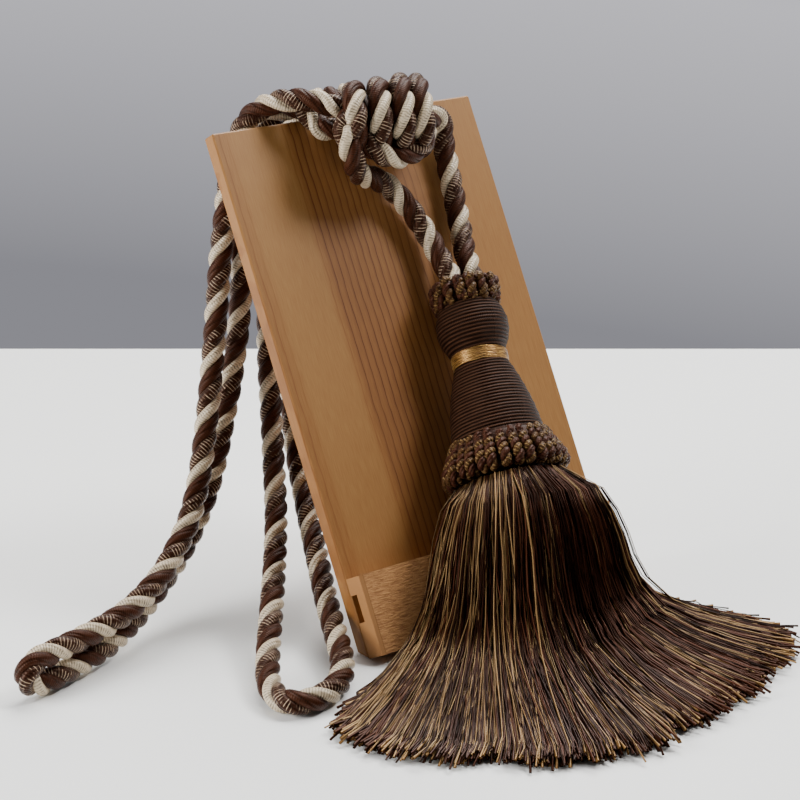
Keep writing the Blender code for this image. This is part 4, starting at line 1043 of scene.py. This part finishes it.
def growth_lines(material):
    """The wood's slow bend, where its lines are strong, and the lines."""
    place = board_coordinates(material, (MM, MM, MM))
    split = add_node(material, "ShaderNodeSeparateXYZ", Vector=place.outputs[0])
    bend = add_node(material, "ShaderNodeTexNoise", Scale=0.014, Detail=1.0,
                    Vector=board_coordinates(material, (MM, 260.0, MM)).outputs[0])
    waver = add_node(material, "ShaderNodeTexNoise", Scale=0.05, Detail=2.0,
                     Vector=board_coordinates(material, (300.0, MM, 300.0)).outputs[0])
    swept = add_node(material, "ShaderNodeMath", {"operation": "MULTIPLY_ADD"},
                     _0=bend.outputs["Fac"], _1=6.0, _2=split.outputs[0])
    wavy = add_node(material, "ShaderNodeMath", {"operation": "MULTIPLY_ADD"},
                    _0=waver.outputs["Fac"], _1=2.2, _2=swept.outputs[0])
    cycle = add_node(material, "ShaderNodeMath", {"operation": "DIVIDE"}, _0=wavy.outputs[0], _1=YEAR_MM)
    ring = add_node(material, "ShaderNodeMath", {"operation": "FRACT"}, _0=cycle.outputs[0])
    late = add_node(material, "ShaderNodeFloatCurve", Value=ring.outputs[0])
    points = late.mapping.curves[0].points
    points[0].location = (0.0, 0.0)
    points[1].location = (1.0, 0.0)
    for spot in YEAR_CURVE:
        points.new(*spot)
    late.mapping.update()
    start = add_node(material, "ShaderNodeMapRange", {"interpolation_type": "SMOOTHSTEP"},
                     Value=wavy.outputs[0], From_Min=LINES_FROM_MM, From_Max=LINES_FROM_MM + 8.0)
    end = add_node(material, "ShaderNodeMapRange", {"interpolation_type": "SMOOTHSTEP"},
                   Value=wavy.outputs[0], From_Min=LINES_TO_MM, From_Max=LINES_TO_MM + 30.0,
                   To_Min=1.0, To_Max=0.12)
    inner = add_node(material, "ShaderNodeMath", {"operation": "MULTIPLY"}, _0=start.outputs[0], _1=end.outputs[0])
    edge = add_node(material, "ShaderNodeMapRange", {"interpolation_type": "SMOOTHSTEP"},
                    Value=wavy.outputs[0], From_Min=8.0, From_Max=16.0, To_Min=0.5, To_Max=0.0)
    strength = add_node(material, "ShaderNodeMath", {"operation": "MAXIMUM"},
                        _0=inner.outputs[0], _1=edge.outputs[0])
    uneven = add_node(material, "ShaderNodeTexNoise", Scale=0.05, Detail=2.0,
                      Vector=board_coordinates(material, (MM, 120.0, MM)).outputs[0])
    lines = add_node(material, "ShaderNodeMath", {"operation": "MULTIPLY"},
                     _0=late.outputs[0], _1=strength.outputs[0])
    faint = add_node(material, "ShaderNodeMath", {"operation": "MULTIPLY"}, _0=uneven.outputs["Fac"], _1=0.58)
    varied = add_node(material, "ShaderNodeMath", {"operation": "MULTIPLY"},
                      _0=lines.outputs[0], _1=faint.outputs[0])
    return bend, strength, varied


print("growth lines every", YEAR_MM, "mm, strong from", LINES_FROM_MM, "to", LINES_TO_MM, "mm")

# %% [markdown]
# ## Planed pine
# The board and its strut are pine, planed and given a clear satin finish. That gives a
# warm honey tone, redder and darker where the growth lines are strong, which is partly
# the wood's own tone and partly a painted shadow of the head and legs on the board,
# with fine fibres half a millimetre wide that run up the board and break the shine a little.

# %% Planed pine
def pine_finish(name, light, middle, dark, roughness):
    """Fibres and slow clouds of tone, less the growth lines."""
    material, shader = new_material(name, roughness, specular=0.3)
    bend, strength, varied = growth_lines(material)
    fibre = add_node(material, "ShaderNodeTexNoise", Scale=1.0, Detail=5.0,
                     Vector=board_coordinates(material, (1800.0, 110.0, 1800.0)).outputs[0])
    fibres = add_node(material, "ShaderNodeMath", {"operation": "MULTIPLY_ADD"},
                      _0=fibre.outputs["Fac"], _1=0.30, _2=0.34)
    clouds = add_node(material, "ShaderNodeMath", {"operation": "MULTIPLY_ADD"},
                      _0=bend.outputs["Fac"], _1=0.34, _2=fibres.outputs[0])
    # the growth zone gets redder and darker: partly the wood's tone, partly a painted shadow of the head and legs
    redder_with_painted_shadow = add_node(material, "ShaderNodeMath", {"operation": "MULTIPLY_ADD"},
                      _0=strength.outputs[0], _1=-0.20, _2=clouds.outputs[0])
    total = add_node(material, "ShaderNodeMath", {"operation": "SUBTRACT"},
                     _0=redder_with_painted_shadow.outputs[0], _1=varied.outputs[0])
    tone = add_node(material, "ShaderNodeValToRGB", stops=((0.14, dark), (0.48, middle), (0.84, light)),
                    Fac=total.outputs[0])
    bump = add_node(material, "ShaderNodeBump", Strength=0.12, Distance=0.0003, Height=fibre.outputs["Fac"])
    material.node_tree.links.new(tone.outputs[0], shader.inputs["Base Color"])
    material.node_tree.links.new(bump.outputs[0], shader.inputs["Normal"])
    return material


planed_pine = pine_finish("planed_pine", "a37945", "85572a", "5a2d0f", 0.45)
print("board finish", planed_pine.name)

# %% [markdown]
# ## Sawn pine
# The ledge's front was sawn across and left rough: torn fibres in short wavy rows
# catch the light, and nothing shines. Its left end is smooth, and meets the rough front
# two millimetres in. Rough wood is matt, so the roughness is high.

# %% Sawn pine
SMOOTH_EDGE_MM = (2.0, 2.6)


def sawn_end_finish(name, smooth, light, dark):
    """Torn fibres in wavy rows across the ledge, and a smooth left edge."""
    material, shader = new_material(name, 0.75, specular=0.3)
    split = add_node(material, "ShaderNodeSeparateXYZ", Vector=board_coordinates(material, (MM, MM, MM)).outputs[0])
    torn = add_node(material, "ShaderNodeTexNoise", Scale=1.0, Detail=4.0, Distortion=0.6,
                    Vector=board_coordinates(material, (240.0, 1300.0, 240.0)).outputs[0])
    tone = add_node(material, "ShaderNodeValToRGB", stops=((0.34, dark), (0.62, light)), Fac=torn.outputs["Fac"])
    inside = add_node(material, "ShaderNodeMapRange", Value=split.outputs[0],
                      From_Min=SMOOTH_EDGE_MM[0], From_Max=SMOOTH_EDGE_MM[1])
    colour = add_node(material, "ShaderNodeMix", {"data_type": "RGBA"},
                      Factor=inside.outputs[0], _6=linear(smooth), _7=tone.outputs[0])
    rough = add_node(material, "ShaderNodeMath", {"operation": "MULTIPLY"},
                     _0=torn.outputs["Fac"], _1=inside.outputs[0])
    bump = add_node(material, "ShaderNodeBump", Strength=0.7, Distance=0.0006, Height=rough.outputs[0])
    material.node_tree.links.new(colour.outputs[2], shader.inputs["Base Color"])
    material.node_tree.links.new(bump.outputs[0], shader.inputs["Normal"])
    return material


sawn_pine = sawn_end_finish("sawn_pine_end_grain", "97693c", "b4824f", "8d5f37")

# %% [markdown]
# ## The wooden parts
# The board, its strut and the ledge are plain flat solids, so the CAD solids are shown
# as they are, and only get their finishes.

# %% Wooden parts
for node_name, material in (("board_panel", planed_pine), ("board_prop", planed_pine), ("board_ledge", sawn_pine)):
    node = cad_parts[node_name]
    for index in range(len(node.data.materials)):
        node.data.materials[index] = material
    print(node_name, "gets", material.name)

# %% [markdown]
# ## The table
# A matt white laminate top, so wide that only its far edge is seen. Its tone varies so
# little that it looks plain, but not dead. It is stage, not part of the object.

# %% Table
TABLE_SIDE = 3.0
TABLE_FAR_EDGE = 0.437

table_mesh = bpy.data.meshes.new("table_top")
table_mesh.from_pydata([(-TABLE_SIDE, -TABLE_SIDE, 0), (TABLE_SIDE, -TABLE_SIDE, 0),
                        (TABLE_SIDE, TABLE_FAR_EDGE, 0), (-TABLE_SIDE, TABLE_FAR_EDGE, 0)], [], [(0, 1, 2, 3)])
table_top = bpy.data.objects.new("table_top", table_mesh)
bpy.context.scene.collection.objects.link(table_top)
white_laminate, white_shader = new_material("white_laminate", 0.55, specular=0.3)
speckle = add_node(white_laminate, "ShaderNodeTexNoise", Scale=3.0, Detail=2.0)
white_tone = add_node(white_laminate, "ShaderNodeValToRGB", stops=((0.3, "f2f2ef"), (0.7, "f6f6f3")),
                      Fac=speckle.outputs["Fac"])
white_laminate.node_tree.links.new(white_tone.outputs[0], white_shader.inputs["Base Color"])
table_mesh.materials.append(white_laminate)
print("table finish", white_laminate.name)

# %% [markdown]
# ## The air
# A plain grey-blue backdrop is a matter of the world alone: its colour goes by height,
# palest at the level of the table's edge and greyer above. Behind the camera the room
# is much darker, so that the dark yarns reflect little and keep their depth.

# %% Air
ROOM_BEHIND_CAMERA = 0.22    # its strength there, where 1 is the strength in front

world = bpy.data.worlds.new("grey_blue_air")
bpy.context.scene.world = world
world.use_nodes = True
background = world.node_tree.nodes["Background"]
direction = add_node(world, "ShaderNodeTexCoord")
parts_of_direction = add_node(world, "ShaderNodeSeparateXYZ", Vector=direction.outputs["Generated"])
sideways_rise = add_node(world, "ShaderNodeMath", {"operation": "MULTIPLY_ADD"},
                         _0=parts_of_direction.outputs[0], _1=0.12, _2=parts_of_direction.outputs[2])
height = add_node(world, "ShaderNodeMapRange", Value=sideways_rise.outputs[0], From_Min=-0.34, From_Max=0.30)
sky = add_node(world, "ShaderNodeValToRGB", Fac=height.outputs[0],
               stops=((0.10, "8c8c93"), (0.33, "d6d5dc"), (0.52, "b0b0b4"), (0.75, "8c8c90")))
world.node_tree.links.new(sky.outputs[0], background.inputs["Color"])
room = add_node(world, "ShaderNodeMapRange", {"interpolation_type": "SMOOTHSTEP"},
                Value=parts_of_direction.outputs[1], From_Min=-0.35, From_Max=0.30,
                To_Min=ROOM_BEHIND_CAMERA, To_Max=1.0)
world.node_tree.links.new(room.outputs[0], background.inputs["Strength"])
print("world", world.name)

# %% [markdown]
# ## The lights
# A wide light above and behind brightens the table and gives the threads that lie flat
# their shine, while it leaves the steep ones dark. A smaller one at the upper right
# lets the knot and the head cast soft shadows to the left on the board. A third, low
# and wide at the left, lights the board's edge and the loops.

# %% Lights
def soft_light(name, place, aim, size, power):
    """A square area light that looks at a point. Size in metres, power in watts."""
    data = bpy.data.lights.new(name, "AREA")
    data.size = size
    data.energy = power
    lamp = bpy.data.objects.new(name, data)
    lamp.location = place
    lamp.rotation_euler = (Vector(aim) - Vector(place)).to_track_quat("-Z", "Y").to_euler()
    bpy.context.scene.collection.objects.link(lamp)


soft_light("above", (0.2, 0.9, 1.6), (0.0, 0.0, 0.0), 1.4, 58.0)
soft_light("right", (0.95, 0.10, 1.40), (0.0, 0.0, 0.10), 0.5, 22.0)
soft_light("left", (-1.4, -0.45, 0.6), (0.0, 0.0, 0.10), 0.9, 36.0)
print("lights", len(bpy.data.lights))
